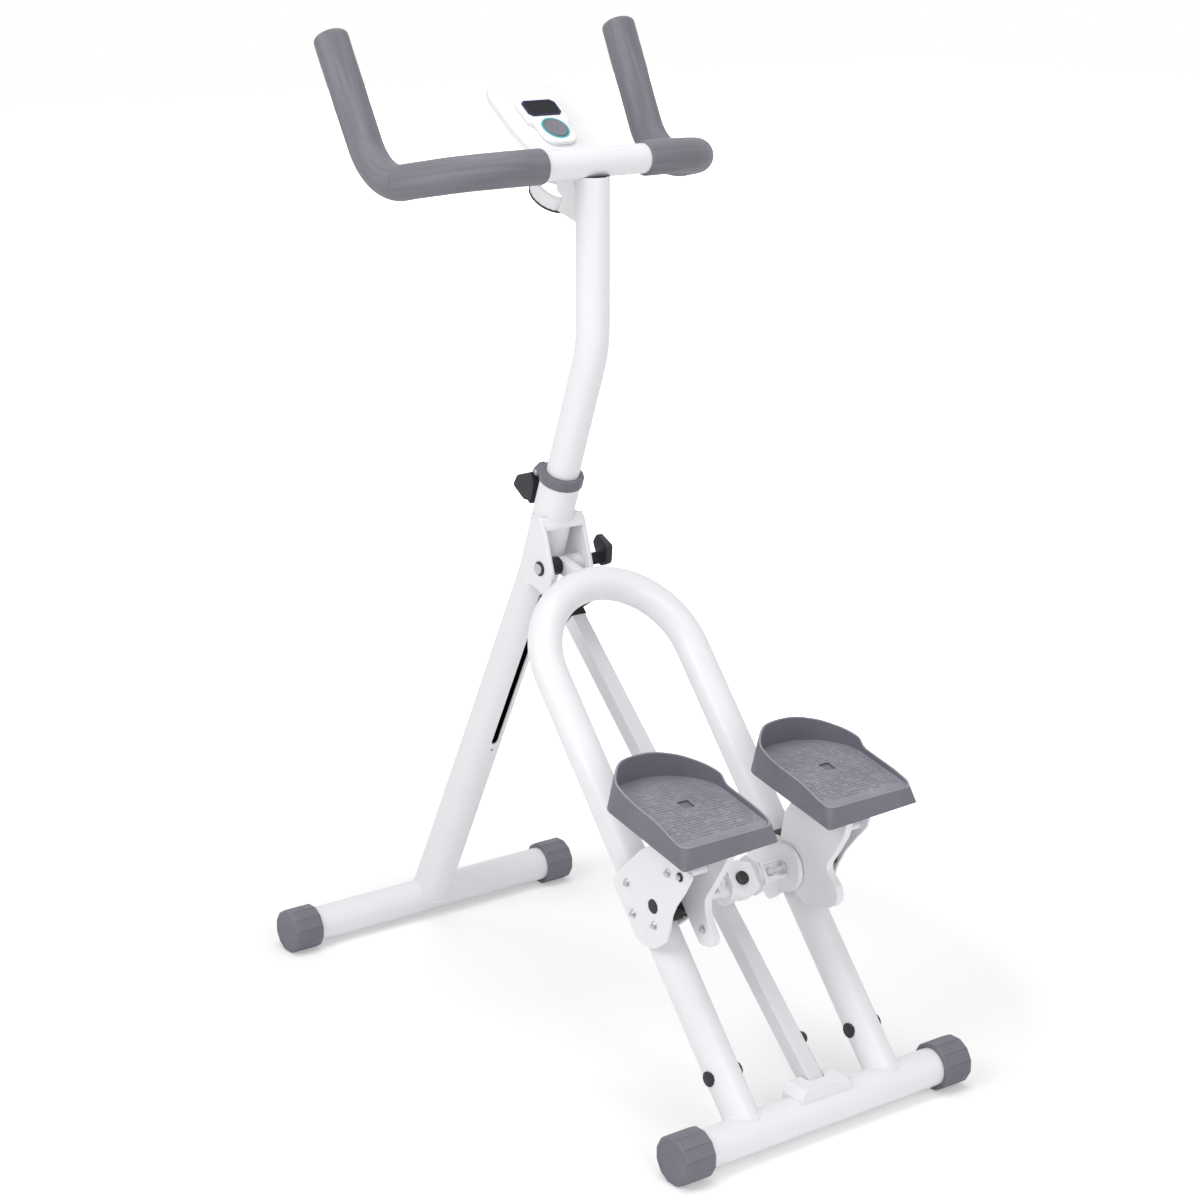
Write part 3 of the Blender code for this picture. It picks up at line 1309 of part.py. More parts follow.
boolean(mount, block((half_bar + 0.002, -0.05, -0.10), (0.05, 0.05, 0.008), axle_frame))


# Carriages: a nylon block on each rail, its plates, the arm under the pedal, and the pedal

PLATE_INNER = RAIL_SPREAD + SLIDER_HALF_WIDTH + SEAT_GAP
BOLTS = ((0.0425, 0.0225), (0.0040, 0.0084), (-0.0262, 0.0409))
UPPER_BOLT = (0.0190, 0.1138)
SECOND_SPACER = (-0.0060, 0.1340)
PLATE_PLUG = (-0.0046, 0.0548)
LOBE_BOLT = (-0.0530, 0.0728)

PEDAL_DIR = Vector((0, cos(radians(PEDAL_PITCH)), sin(radians(PEDAL_PITCH))))
PEDAL_OUT = Vector((0, -PEDAL_DIR.z, PEDAL_DIR.y))
PEDAL_HEEL = rail_point(0, CARRIAGE_UP - PEDAL_HEEL_BACK, PEDAL_HEEL_OUT)


def in_rail(point):
    """(along, out) of a world point from the carriage's centre."""
    offset = point - rail_point(0, CARRIAGE_UP, 0)
    return offset.dot(RAIL_DIR), offset.dot(RAIL_OUT)


def pedal_line(along, up):
    """Point beside the pedal's underside, as (along, out) of the rail."""
    return in_rail(PEDAL_HEEL + PEDAL_DIR * along + PEDAL_OUT * up)


def plate_outline_points():
    return filleted([
        (0.0641, 0.0190, 0.002), (0.0631, 0.0354, 0.001), (0.0670, 0.0750, 0.010), (0.0620, 0.1080, 0.016),
        (0.0260, 0.1420, 0.020),
        (-0.0020, 0.1520, 0.014), (-0.0160, 0.1250, 0.030), (-0.0240, 0.1010, 0.030),
        (-0.0440, 0.0780, 0.030), (-0.0520, 0.0540, 0.020), (-0.0500, 0.0180, 0.022), (
            -0.0330, -0.0010, 0.020
        ),
        (-0.0150, -0.0040, 0.010), (0.0560, -0.0040, 0.010),
    ], 3)


def arm_outline_points():
    """Side view of the pedal arm: a hanging lobe, a waist, and a head under the pedal."""
    top = FLANGE_THICKNESS * 0.4 + 0.0046
    return [
        (-0.0810, 0.0620, 0.016),
        (-0.0640, SLIDER_OVER + SEAT_GAP, 0.012), (0.0360, SLIDER_OVER + SEAT_GAP, 0.006),
        (0.0560, 0.0800, 0.020), (*pedal_line(0.098, top), 0.002), (*pedal_line(0.012, top), 0.004),
        (-0.0010, 0.1590, 0.020), (-0.0175, 0.1330, 0.022), (-0.0230, 0.1060, 0.014),
        (-0.0400, 0.0960, 0.016),
        (-0.0640, 0.0965, 0.018), (-0.0790, 0.0840, 0.016),
    ]


def smooth_step(value):
    value = min(1.0, max(0.0, value))
    return value * value * (3 - 2 * value)


def pedal_plan(inset, heel_inset, corner):
    """Plan of the pedal as (x, along): full at the outer toe on the left, sloping away on the right."""
    w = PEDAL_HALF_WIDTH - inset
    toe = PEDAL_TOE - inset
    outline = []

    def arc(cx, cy, rx, ry, start, end, parts, bulge=1.0):
        for k in range(parts + 1):
            turn = radians(start + (end - start) * k / parts)
            c, q = cos(turn), sin(turn)
            outline.append((
                cx + rx * abs(c) ** bulge * (1 if c > 0 else -1),
                cy + ry * abs(q) ** bulge * (1 if q > 0 else -1)
            ))

    arc(w - corner, heel_inset + corner, corner, corner, -90, 0, 3)
    for k in range(1, 4):
        outline.append((w, heel_inset + corner + (PEDAL_NOTCH - heel_inset - corner) * k / 4))
    arc(PEDAL_CROWN, PEDAL_NOTCH, w - PEDAL_CROWN, toe - PEDAL_NOTCH, 0, 90, 7)
    outline.pop()
    arc(PEDAL_CROWN, PEDAL_SIDE, w + PEDAL_CROWN, toe - PEDAL_SIDE, 90, 180, 6, 0.8)
    for k in range(1, 4):
        outline.append((-w, PEDAL_SIDE + (heel_inset + corner - PEDAL_SIDE) * k / 4))
    arc(-w + corner, heel_inset + corner, corner, corner, 180, 270, 3)
    return outline


def rim_height(x, along):
    """Height of the rim over the tread: full at the toe, fading on the left, stepped down on the right."""
    left = PEDAL_RIM * smooth_step((along - 0.010) / (PEDAL_SIDE * 0.90))
    right = 0.0022 + 0.0080 * smooth_step((along - 0.102) / 0.016)
    right += (PEDAL_RIM - 0.0102) * smooth_step((along - 0.116) / 0.066)
    blend = smooth_step((0.35 - x / PEDAL_HALF_WIDTH) / 0.7)
    if along < HEEL_SLOPE + 0.012:
        blend = 0.5
        left = right = 0.0022 * smooth_step((along - HEEL_SLOPE) / 0.012)
    return right + (left - right) * blend


def pedal(name, side, parent):
    origin = PEDAL_HEEL + ACROSS * side * PEDAL_AT
    matrix = frame(origin, ACROSS, PEDAL_DIR, ACROSS.cross(PEDAL_DIR))
    up = 1 if matrix.to_3x3().col[2].dot(PEDAL_OUT) > 0 else -1
    low = pedal_plan(0.0, 0.0, 0.004)
    high = pedal_plan(SIDE_DRAFT, HEEL_SLOPE, 0.018)
    rim_in = pedal_plan(SIDE_DRAFT + PEDAL_WALL, HEEL_SLOPE + PEDAL_WALL, 0.016)
    tread = pedal_plan(SIDE_DRAFT + PEDAL_WALL + 0.0012, HEEL_SLOPE + PEDAL_WALL + 0.0012, 0.016)
    under_low = pedal_plan(PEDAL_WALL, PEDAL_WALL * 1.4, 0.004)
    under_high = pedal_plan(SIDE_DRAFT + PEDAL_WALL, HEEL_SLOPE + PEDAL_WALL * 0.4, 0.016)

    def ring(plan, height):
        return [Vector((x, y, up * height)) for x, y in plan]

    def under(plan):
        return [Vector((x, y, up * PEDAL_LIFT * (0.5 + 0.5 * x / PEDAL_HALF_WIDTH))) for x, y in plan]

    def rim(plan):
        return [
            Vector((x, y, up * (PEDAL_BODY + rim_height(hx, hy))))
            for (x, y), (hx, hy) in zip(plan, high)
        ]

    bm = rings_mesh([
        ring(under_high, PEDAL_BODY - PEDAL_WALL), under(under_low), under(low), rim(high), rim(rim_in), ring(tread, PEDAL_BODY),
    ])
    tray = add_object(name, bm, matrix, GREY, parent, 28)
    size = TREAD_RECESS / 2
    middle = PEDAL_TOE * 0.55
    boolean(
        tray,
        block(
            (-size, middle - size, up * (PEDAL_BODY - RECESS_DEPTH)),
            (size, middle + size, up * (PEDAL_BODY + 0.01)), matrix
        )
    )
    rib_low = FLANGE_THICKNESS + 0.0060
    reach = PEDAL_HALF_WIDTH - SIDE_DRAFT - PEDAL_WALL * 0.5
    for at in (0.055, 0.086, 0.117):
        wide = reach if at < 0.10 else reach * 0.93
        boolean(
            tray,
            block(
                (-wide, at, up * rib_low), (wide, at + PEDAL_RIB, up * (PEDAL_BODY - PEDAL_WALL * 0.5)),
                matrix
            ),
            "UNION"
        )
    for x in (-0.030, 0.030):
        boolean(
            tray,
            block(
                (x, HEEL_SLOPE, up * (rib_low + 0.001)),
                (x + PEDAL_RIB, PEDAL_TOE * 0.84, up * (PEDAL_BODY - PEDAL_WALL * 0.6)), matrix
            ),
            "UNION"
        )
    shade(tray, 28)
    return tray


def carriage(side, label):
    axis = joint_frame("carriage_axis_%s" % label, rail_point(side * RAIL_SPREAD, CARRIAGE_UP, 0))
    spot = rail_frame()

    def at(x, along, out):
        return rail_point(side * x, CARRIAGE_UP + along, out)

    inner = RAIL_SPREAD - SLIDER_HALF_WIDTH
    outer = RAIL_SPREAD + SLIDER_HALF_WIDTH
    slider_outline = filleted([
        (-SLIDER_BELOW, -SLIDER_UNDER, 0.008), (SLIDER_ABOVE, -SLIDER_UNDER, 0.008),
        (SLIDER_ABOVE, SLIDER_OVER * 0.60, 0.010),
        (SLIDER_ABOVE - 0.034, SLIDER_OVER, 0.010), (-SLIDER_BELOW, SLIDER_OVER, 0.006),
    ], 3)
    slider = prism(
        "slider_block_%s" % label, slider_outline, side * inner, side * outer, spot, BLACK, axis, 0.0015
    )
    boolean(
        slider,
        rod(at(RAIL_SPREAD, -0.2, 0), at(RAIL_SPREAD, 0.2, 0), RAIL_RADIUS + SLIDE_GAP, TUBE_SIDES, RAIL_OUT)
    )
    below = [(-0.1, -0.06), (0.1, -0.06), (0.1, -0.0040), (-0.1, -0.0040)]
    boolean(slider, prism("helper", below, side * RAIL_SPREAD, side * (outer + 0.01), spot, HELPER))

    plate = prism(
        "outer_plate_%s" % label, plate_outline_points(), side * PLATE_INNER,
        side * (PLATE_INNER + PLATE_THICKNESS), spot, WHITE, axis, 0.0010
    )
    face = PLATE_INNER + PLATE_THICKNESS
    for along, out in (*BOLTS, UPPER_BOLT):
        root_at = at(face - 0.001, along, out)
        rim_at = at(face + PLATE_BOLT_HEIGHT * 0.7, along, out)
        tip_at = at(face + PLATE_BOLT_HEIGHT, along, out)
        stud = pipe(
            "helper", [root_at, rim_at, tip_at],
            [PLATE_BOLT_RADIUS, PLATE_BOLT_RADIUS, PLATE_BOLT_RADIUS * 0.72], 0.0, HELPER, None, 8,
            up=RAIL_DIR
        )
        boolean(plate, stud, "UNION")
    hole = at(PLATE_INNER - 0.005, *PLATE_PLUG)
    boolean(plate, rod(hole, at(face + 0.005, *PLATE_PLUG), PLATE_PLUG_RADIUS + SEAT_GAP, 16, RAIL_DIR))
    pipe("plate_plug_%s" % label, [at(PLATE_INNER, *PLATE_PLUG), at(face + 0.0002, *PLATE_PLUG), at(face + 0.0012, *PLATE_PLUG)],
         [PLATE_PLUG_RADIUS, PLATE_PLUG_RADIUS, PLATE_PLUG_RADIUS - 0.0012], 0.0, DARK, axis, 16, up=RAIL_DIR)

    lug = prism(
        "drive_lug_%s" % label, circle(LUG_RADIUS, 24, (0, LUG_OUT)), side * LUG_INNER,
        side * (ARM_INNER - SEAT_GAP), spot, WHITE, axis, 0.0016
    )
    foot_outline = filleted([
        (-0.0250, -0.0260, 0.010), (0.0580, -0.0260, 0.010), (0.0580, 0.0240, 0.010),
        (0.0400, SLIDER_OVER - 0.001, 0.008), (-0.0250, SLIDER_OVER - 0.001, 0.008),
    ], 3)
    boolean(
        lug,
        prism(
            "helper", foot_outline, side * (ARM_INNER - SEAT_GAP - 0.0045), side * (inner - SEAT_GAP), spot,
            HELPER
        ),
        "UNION"
    )
    boolean(
        lug,
        rod(
            at(LUG_INNER - 0.01, 0, LUG_OUT), at(inner + 0.001, 0, LUG_OUT), PIN_RADIUS + SEAT_GAP, 12,
            RAIL_DIR
        )
    )

    ball = PIN_BALL_AT
    flare = PIN_BALL_RADIUS
    boss_at = LUG_INNER - SEAT_GAP
    pin_line = [
        at(ball - flare * 0.94, 0, LUG_OUT), at(ball - flare * 0.60, 0, LUG_OUT), at(ball, 0, LUG_OUT),
        at(ball + flare * 0.60, 0, LUG_OUT),
        at(ball + flare * 0.85, 0, LUG_OUT), at(boss_at - 0.0014, 0, LUG_OUT),
        at(boss_at - 0.00135, 0, LUG_OUT), at(boss_at, 0, LUG_OUT),
        at(boss_at + 0.00005, 0, LUG_OUT), at(inner - SEAT_GAP, 0, LUG_OUT),
    ]
    sizes = [
        flare * 0.34, flare * 0.80, flare, flare * 0.80, PIN_RADIUS, PIN_RADIUS, 0.0095, 0.0095, PIN_RADIUS,
        PIN_RADIUS
    ]
    pipe("drive_pin_%s" % label, pin_line, sizes, 0.0, ZINC, axis, 12, up=RAIL_DIR)

    arm = prism(
        "pedal_arm_%s" % label, filleted(arm_outline_points(), 4), side * ARM_INNER, side * ARM_OUTER, spot,
        WHITE, axis, 0.0022
    )
    shift = in_rail(rail_point(0, CARRIAGE_UP, 0) + RAIL_DIR * ARM_SHEET * 1.25 - RAIL_OUT * ARM_SHEET * 0.9)
    hollow = [(x + shift[0], y + shift[1], r) for x, y, r in arm_outline_points()]
    hollow[1] = (hollow[1][0] + 0.004, SLIDER_OVER - 0.020, 0.002)
    hollow[2] = (hollow[2][0] + 0.030, SLIDER_OVER - 0.020, 0.002)
    boolean(
        arm,
        prism(
            "helper", filleted(hollow, 3), side * (ARM_INNER + ARM_SHEET), side * (ARM_OUTER - ARM_SHEET),
            spot, HELPER
        )
    )
    along, out = LOBE_BOLT
    boolean(
        arm, rod(at(ARM_INNER + 0.001, along, out), at(ARM_OUTER + 0.0040, along, out), 0.0052, 8, RAIL_DIR),
        "UNION"
    )
    flange = frame(PEDAL_HEEL, ACROSS, PEDAL_DIR, ACROSS.cross(PEDAL_DIR))
    up = 1 if flange.to_3x3().col[2].dot(PEDAL_OUT) > 0 else -1
    flange_low = 0.0055
    heel_end = HEEL_SLOPE * (flange_low + FLANGE_THICKNESS) / PEDAL_BODY + PEDAL_WALL * 1.4 + 0.0020
    flange_outline = filleted(
        [(0.078, heel_end, 0.006), (0.146, heel_end, 0.006), (0.146, 0.126, 0.006), (0.078, 0.126, 0.006)], 3
    )
    pad = [(side * x, y) for x, y in flange_outline]
    boolean(
        arm, prism("helper", pad, up * flange_low, up * (flange_low + FLANGE_THICKNESS), flange, HELPER),
        "UNION"
    )
    for name, spot_at in (("spacer_front_%s", UPPER_BOLT), ("spacer_rear_%s", SECOND_SPACER)):
        pipe(
            name % label, [at(ARM_OUTER + SEAT_GAP, *spot_at), at(PLATE_INNER - SEAT_GAP, *spot_at)],
            SPACER_RADIUS, 0.0, ZINC, axis, 16, up=RAIL_DIR
        )
    pedal("pedal_%s" % label, side, axis)


carriage(-1, "left")
carriage(1, "right")
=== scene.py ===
import json
from math import acos, atan2, cos, pi, radians, sin, sqrt, tan

import bmesh
import bpy
from mathutils import Matrix, Vector, noise

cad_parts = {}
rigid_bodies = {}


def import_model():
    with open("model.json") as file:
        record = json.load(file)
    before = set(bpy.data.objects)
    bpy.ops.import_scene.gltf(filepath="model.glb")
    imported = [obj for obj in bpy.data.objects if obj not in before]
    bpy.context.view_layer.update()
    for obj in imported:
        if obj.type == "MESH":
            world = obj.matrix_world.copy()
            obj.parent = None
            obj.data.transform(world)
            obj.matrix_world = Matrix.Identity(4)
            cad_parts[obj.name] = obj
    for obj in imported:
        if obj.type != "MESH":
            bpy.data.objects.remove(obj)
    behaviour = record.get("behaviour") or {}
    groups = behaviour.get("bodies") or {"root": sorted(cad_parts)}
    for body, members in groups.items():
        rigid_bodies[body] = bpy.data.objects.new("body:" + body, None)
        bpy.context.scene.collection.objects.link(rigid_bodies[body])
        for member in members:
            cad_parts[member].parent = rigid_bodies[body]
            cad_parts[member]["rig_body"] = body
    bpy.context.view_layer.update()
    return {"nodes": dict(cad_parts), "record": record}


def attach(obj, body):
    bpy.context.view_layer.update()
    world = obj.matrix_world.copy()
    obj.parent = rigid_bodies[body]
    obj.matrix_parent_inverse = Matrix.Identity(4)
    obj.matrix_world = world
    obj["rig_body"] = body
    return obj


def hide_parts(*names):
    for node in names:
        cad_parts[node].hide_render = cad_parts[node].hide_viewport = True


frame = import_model()

# Measures of the CAD source, in metres and degrees
GAP = 0.0003
CLEAR = 0.010
BASE_SPACING = 0.927
BASE_RADIUS = 0.0262
BASE_WALL = 0.0018
TUBE_START = 0.010
FRONT_WIDTH = 0.520
REAR_WIDTH = 0.496
CAP_RADIUS = 0.0325
CAP_LENGTH = 0.0475
CAP_END = 0.0045
CAP_FACETS = 12
UPRIGHT_RADIUS = 0.0290
UPRIGHT_WALL = 0.0022
UPRIGHT_LEAN = 27.17
UPRIGHT_LENGTH = 0.6651
STEM_LEAN = 20.58
STEM_LENGTH = 0.1533
STEM_BEND = 0.060
SLOT_LOW = 0.352
SLOT_HIGH = 0.648
SLOT_WIDTH = 0.0115
WINDOW_TAPER = 0.012
PIN_HOLE_RADIUS = 0.0026
PIN_HOLE_DROP = 0.012
STEM_HOLE_DROP = 0.016
SPRING_WIRE = 0.0023
SPRING_RADIUS = 0.0072
SPRING_PITCH = 0.0108
SPRING_TURNS = 4
MAST_RADIUS = 0.0235
MAST_WALL = 0.0012
MAST_INSERT = 0.112
MAST_RUN = 0.3687
MAST_BEND = 0.160
MAST_TOP = 1.2000
BAR_RADIUS = 0.0204
BAR_WALL = 0.0018
CROSSBAR_HEIGHT = 1.2182
BAR_HALF_WIDTH = 0.2351
BAR_REACH = 0.1614
BAR_DROP = 0.0315
HORN_SPREAD = 0.0074
HORN_REACH = 0.1040
HORN_RISE = 0.1970
BAR_BEND = 0.110
HORN_BEND = 0.084
FOAM_THICKNESS = 0.0036
FOAM_START = 0.085
FOAM_TIP = 0.010
FOAM_SIDES = 48
FOAM_STEP = 0.0045
FOAM_CUFF = 0.0040
BAR_TIP_INSET = 0.014
CONSOLE_TILT = 54.0
CONSOLE_FORWARD = 0.060
CONSOLE_LIFT = 0.0143
CONSOLE_HALF_WIDTH = 0.0615
CONSOLE_TOP = 0.1545
CONSOLE_BOTTOM = -0.034
CONSOLE_THICKNESS = 0.009
CONSOLE_BACK = 0.0125
MODULE_HEIGHT = 0.0065
MODULE_HALF_WIDTH = 0.0345
MODULE_TOP = 0.097
MODULE_WAIST = 0.0515
WAIST_SLOPE = 0.009
PILL_RADIUS = 0.0265
BUTTON_CENTRE = 0.0335
BUTTON_RADIUS = 0.0172
BUTTON_RING = 0.0026
BUTTON_PROUD = 0.0014
DISPLAY_HALF_WIDTH = 0.0275
DISPLAY_LOW = 0.0590
DISPLAY_HIGH = 0.0900
DISPLAY_PROUD = 0.0010
DISPLAY_SINK = 0.0025
DISPLAY_CLIP = 0.0055
HOOP_RADIUS = 0.034
HOOP_DEPTH = 0.022
HOOP_BELOW = 0.0536
HOOP_ALONG = -0.0146
RAIL_LEAN = 39.8
RAIL_RADIUS = 0.0240
RAIL_WALL = 0.0020
RAIL_SPREAD = 0.1214
RAIL_LENGTH = 0.782
RAIL_TOP_STEPS = 64
LEVER_PIVOT = Vector((0, 0.14687, 0.7767))
LEVER_HALF_WIDTH = 0.0150
LEVER_HUB_HALF = 0.0068
LEVER_HUB_RADIUS = 0.0068
LEVER_PIN_RADIUS = 0.0030
CARRIAGE_UP = 0.3120
SLIDER_HALF_WIDTH = 0.0320
PLATE_THICKNESS = 0.0040
PLATE_PLUG_RADIUS = 0.0097
ARM_OUTER = 0.1100
ROLLER_NOTCH = ((-0.0300, 0.0340), (-0.0100, 0.0600))
ROLLER_NOTCH_ACROSS = (0.1050, 0.1600)
PEDAL_AT = 0.1210
PEDAL_HALF_WIDTH = 0.0775
PEDAL_SIDE = 0.152
PEDAL_NOTCH = 0.108
PEDAL_TOE = 0.1825
PEDAL_CROWN = -0.022
PEDAL_PITCH = 12.5
PEDAL_HEEL_BACK = 0.0065
PEDAL_HEEL_OUT = 0.2003
PEDAL_BODY = 0.0255
PEDAL_LIFT = 0.0060
PEDAL_WALL = 0.0036
HEEL_SLOPE = 0.0110
SIDE_DRAFT = 0.0025
TREAD_RECESS = 0.0180
RECESS_DEPTH = 0.0030
FLANGE_LOW = 0.0055
FLANGE_THICKNESS = 0.0032
PEDAL_RIB = 0.0028

# Sides of the round pieces
BASE_SIDES = 64
MAST_SIDES = 56
RAIL_SIDES = 60
BAR_SIDES = 40
HOOP_SIDES = 64
BUTTON_SIDES = 72
SMALL_SIDES = 32

# Sizes of the small finish that only the dressed model has
WELD_BEAD = 0.0021
WELD_LEAST_RISE = 0.0105
TREAD_PITCH = 0.0052
TREAD_RIB = 0.0022
TREAD_RISE = 0.0007
TREAD_START = 0.0300
TREAD_END = PEDAL_TOE - SIDE_DRAFT - PEDAL_WALL - 0.005
TOP_CORNER = 0.0120
LOW_CORNER = 0.004
HEEL_LIP = 0.0012
HEX_RADIUS = 0.0040
HEX_HEIGHT = 0.0042
WASHER_RADIUS = 0.0060
WASHER_HEIGHT = 0.0010

# The studio: glow of the floor near the object, from where to where it grows to full, and its levels
FLOOR_GLOW = 0.15
FLOOR_GLOW_REACH = (0.6, 1.5)
FLOOR_HALF = 14.0
FLOOR_LEVEL = 1.90
WORLD_LEVEL = 0.46
# Name, place, aim, size in metres and power in watts of each lamp
LAMPS = (
    ("key_light", (-2.4, -0.2, 2.2), (0, 0, 0.6), 1.6, 32.0),
    ("top_light", (0.0, -0.3, 4.5), (0, 0, 0.5), 2.2, 48.5),
    ("fill_light", (-0.4, -3.2, 1.8), (0, 0, 0.5), 2.0, 28.2),
)
CAMERA_LENS = 78.43
CAMERA_SENSOR = 36.0
CAMERA_PLACE = (-2.1056, -2.7794, 1.6035)
CAMERA_PITCH = 74.2351
CAMERA_TURN = -37.0092

WHITE_COAT = "white_powder_coat"
ACROSS = Vector((1, 0, 0))
UP = Vector((0, 0, 1))


def direction(lean):
    """Unit vector that rises forwards by this lean from the vertical, in degrees."""
    return Vector((0, sin(radians(lean)), cos(radians(lean))))


UPRIGHT_DIR = direction(-UPRIGHT_LEAN)
UPRIGHT_BACK = ACROSS.cross(UPRIGHT_DIR)
STEM_DIR = direction(-STEM_LEAN)
STEM_BACK = ACROSS.cross(STEM_DIR)
RAIL_DIR = direction(RAIL_LEAN)
RAIL_OUT = ACROSS.cross(RAIL_DIR)
FRONT_FOOT = Vector((0, BASE_SPACING / 2, CAP_RADIUS))
REAR_FOOT = Vector((0, -BASE_SPACING / 2, CAP_RADIUS))
UPRIGHT_BEND = FRONT_FOOT + UPRIGHT_DIR * UPRIGHT_LENGTH
STEM_TOP = UPRIGHT_BEND + STEM_DIR * STEM_LENGTH
MAST_KNEE = UPRIGHT_BEND + STEM_DIR * MAST_RUN
CROSSBAR = Vector((0, MAST_KNEE.y, CROSSBAR_HEIGHT))
CONSOLE = CROSSBAR + Vector((0, CONSOLE_FORWARD, CONSOLE_LIFT))
PLATE_UP = direction(CONSOLE_TILT)
PLATE_OUT = ACROSS.cross(PLATE_UP)


def rail_point(x, along, out):
    """Point given by its distance along the rails and out from their plane."""
    return REAR_FOOT + ACROSS * x + RAIL_DIR * along + RAIL_OUT * out


PEDAL_DIR = direction(90 - PEDAL_PITCH)
PEDAL_OUT = ACROSS.cross(PEDAL_DIR)
PEDAL_HEEL = rail_point(0, CARRIAGE_UP - PEDAL_HEEL_BACK, PEDAL_HEEL_OUT)


# Surface finishes

DUST_TONE = (0.58, 0.57, 0.55, 1.0)
CLOUD_TONE = (0.42, 0.43, 0.47, 1.0)
FLECK_TONE = (0.22, 0.22, 0.24, 1.0)
# Near-black of the painted shade in the foam's cell hollows
PIT_SHADE_TONE = (0.03, 0.03, 0.035, 1.0)
FLOOR_TONES = ((0.95, 0.95, 0.95, 1.0), (0.97, 0.97, 0.97, 1.0))
WHITE = (1.0, 1.0, 1.0, 1.0)
GREY = (0.5, 0.5, 0.5, 1.0)


def put(tree, kind, inputs=None, **settings):
    """Adds a node with its settings, each input a number or another node's output."""
    made = tree.nodes.new(kind)
    for name, value in settings.items():
        setattr(made, name, value)
    for name, value in (inputs or {}).items():
        if isinstance(value, bpy.types.NodeSocket):
            tree.links.new(value, made.inputs[name])
        else:
            made.inputs[name].default_value = value
    return made


def maths(tree, operation, a, b=0.0):
    return put(tree, "ShaderNodeMath", {0: a, 1: b}, operation=operation).outputs[0]


def times(tree, a, b):
    return maths(tree, "MULTIPLY", a, b)


def plus(tree, a, b):
    return maths(tree, "ADD", a, b)


def spread(tree, value, low, high, to_low=0.0, to_high=1.0):
    """Value taken from one range to another, and held inside it."""
    return put(tree, "ShaderNodeMapRange", {0: value, 1: low, 2: high, 3: to_low, 4: to_high}).outputs[0]


def blend_colour(tree, factor, first, second):
    return put(tree, "ShaderNodeMix", {0: factor, 6: first, 7: second}, data_type="RGBA").outputs[2]


def toned(tree, colour, value):
    """The same colour, darker or paler."""
    return put(tree, "ShaderNodeHueSaturation", {"Value": value, "Color": colour}).outputs["Color"]


def drawn_out(tree, at, scale, turn=(0.0, 0.0, 0.0)):
    """Coordinates scaled unevenly, so that a pattern on them runs one way."""
    return put(tree, "ShaderNodeMapping", {"Vector": at, "Rotation": turn, "Scale": scale}).outputs[0]


def grain(tree, at, scale, detail=2.0, distortion=0.0):
    values = {"Vector": at, "Scale": scale, "Detail": detail, "Distortion": distortion}
    return put(tree, "ShaderNodeTexNoise", values).outputs["Fac"]


def cells(tree, at, scale):
    return put(tree, "ShaderNodeTexVoronoi", {"Vector": at, "Scale": scale}).outputs["Distance"]


def named_input(tree, label, value):
    """Input of a node group, its kind taken from its value."""
    if isinstance(value, (int, float)):
        kind = "Int" if isinstance(value, int) else "Float"
    else:
        kind = "Vector" if len(value) == 3 else "Color"
    tree.interface.new_socket(label, in_out="INPUT", socket_type="NodeSocket" + kind).default_value = value


def shader_group(name, inputs, outputs, rule):
    """Node group whose outputs the rule gives from the tree, the Object coordinates and the inputs."""
    tree = bpy.data.node_groups.new(name, "ShaderNodeTree")
    for label, value in inputs.items():
        named_input(tree, label, value)
    for label, kind in outputs.items():
        tree.interface.new_socket(label, in_out="OUTPUT", socket_type="NodeSocket" + kind)
    given = tree.nodes.new("NodeGroupInput").outputs
    result = tree.nodes.new("NodeGroupOutput").inputs
    at = put(tree, "ShaderNodeTexCoord").outputs["Object"]
    for label, value in zip(outputs, rule(tree, at, given)):
        tree.links.new(value, result[label])
    return tree


def dust_veil(tree, at, given):
    """Mask of the fine dust that settles on faces that look up."""
    facing = put(tree, "ShaderNodeNewGeometry").outputs["Normal"]
    upward = spread(tree, put(tree, "ShaderNodeSeparateXYZ", {0: facing}).outputs["Z"], 0.35, 0.95)
    patches = spread(tree, grain(tree, at, 21.0, 4.0, 0.4), 0.42, 0.66, 0.15)
    return [times(tree, times(tree, upward, patches), given["Amount"])]


DUST = shader_group("dust_veil", {"Amount": 0.1}, {"Mask": "Float"}, dust_veil)


def dusted(tree, colour, amount):
    veil = put(tree, "ShaderNodeGroup", node_tree=DUST)
    tree.links.new(amount, veil.inputs["Amount"])
    return blend_colour(tree, veil.outputs["Mask"], colour, DUST_TONE)


def coat_skin(tree, at, given):
    """Sprayed and baked paint: faint clouds of tone, the fine dimples of the coat, and few dark flecks."""
    clouds = spread(tree, grain(tree, at, 7.0, 4.0, 0.6), 0.30, 0.72)
    shade = blend_colour(tree, times(tree, clouds, given["Cloud"]), given["Colour"], CLOUD_TONE)
    spot = maths(tree, "LESS_THAN", cells(tree, at, 34.0), 0.035)
    rare = maths(tree, "GREATER_THAN", grain(tree, at, 13.0, 1.0), 0.62)
    fleck = times(tree, times(tree, spot, rare), given["Fleck"])
    shade = blend_colour(tree, fleck, shade, FLECK_TONE)
    rough = times(tree, given["Gloss"], spread(tree, grain(tree, at, 38.0, 3.0), 0.3, 0.7, 0.97, 1.04))
    height = plus(tree, grain(tree, at, given["Peel Scale"]), times(tree, grain(tree, at, 95.0), 0.5))
    return dusted(tree, shade, given["Dust"]), rough, height


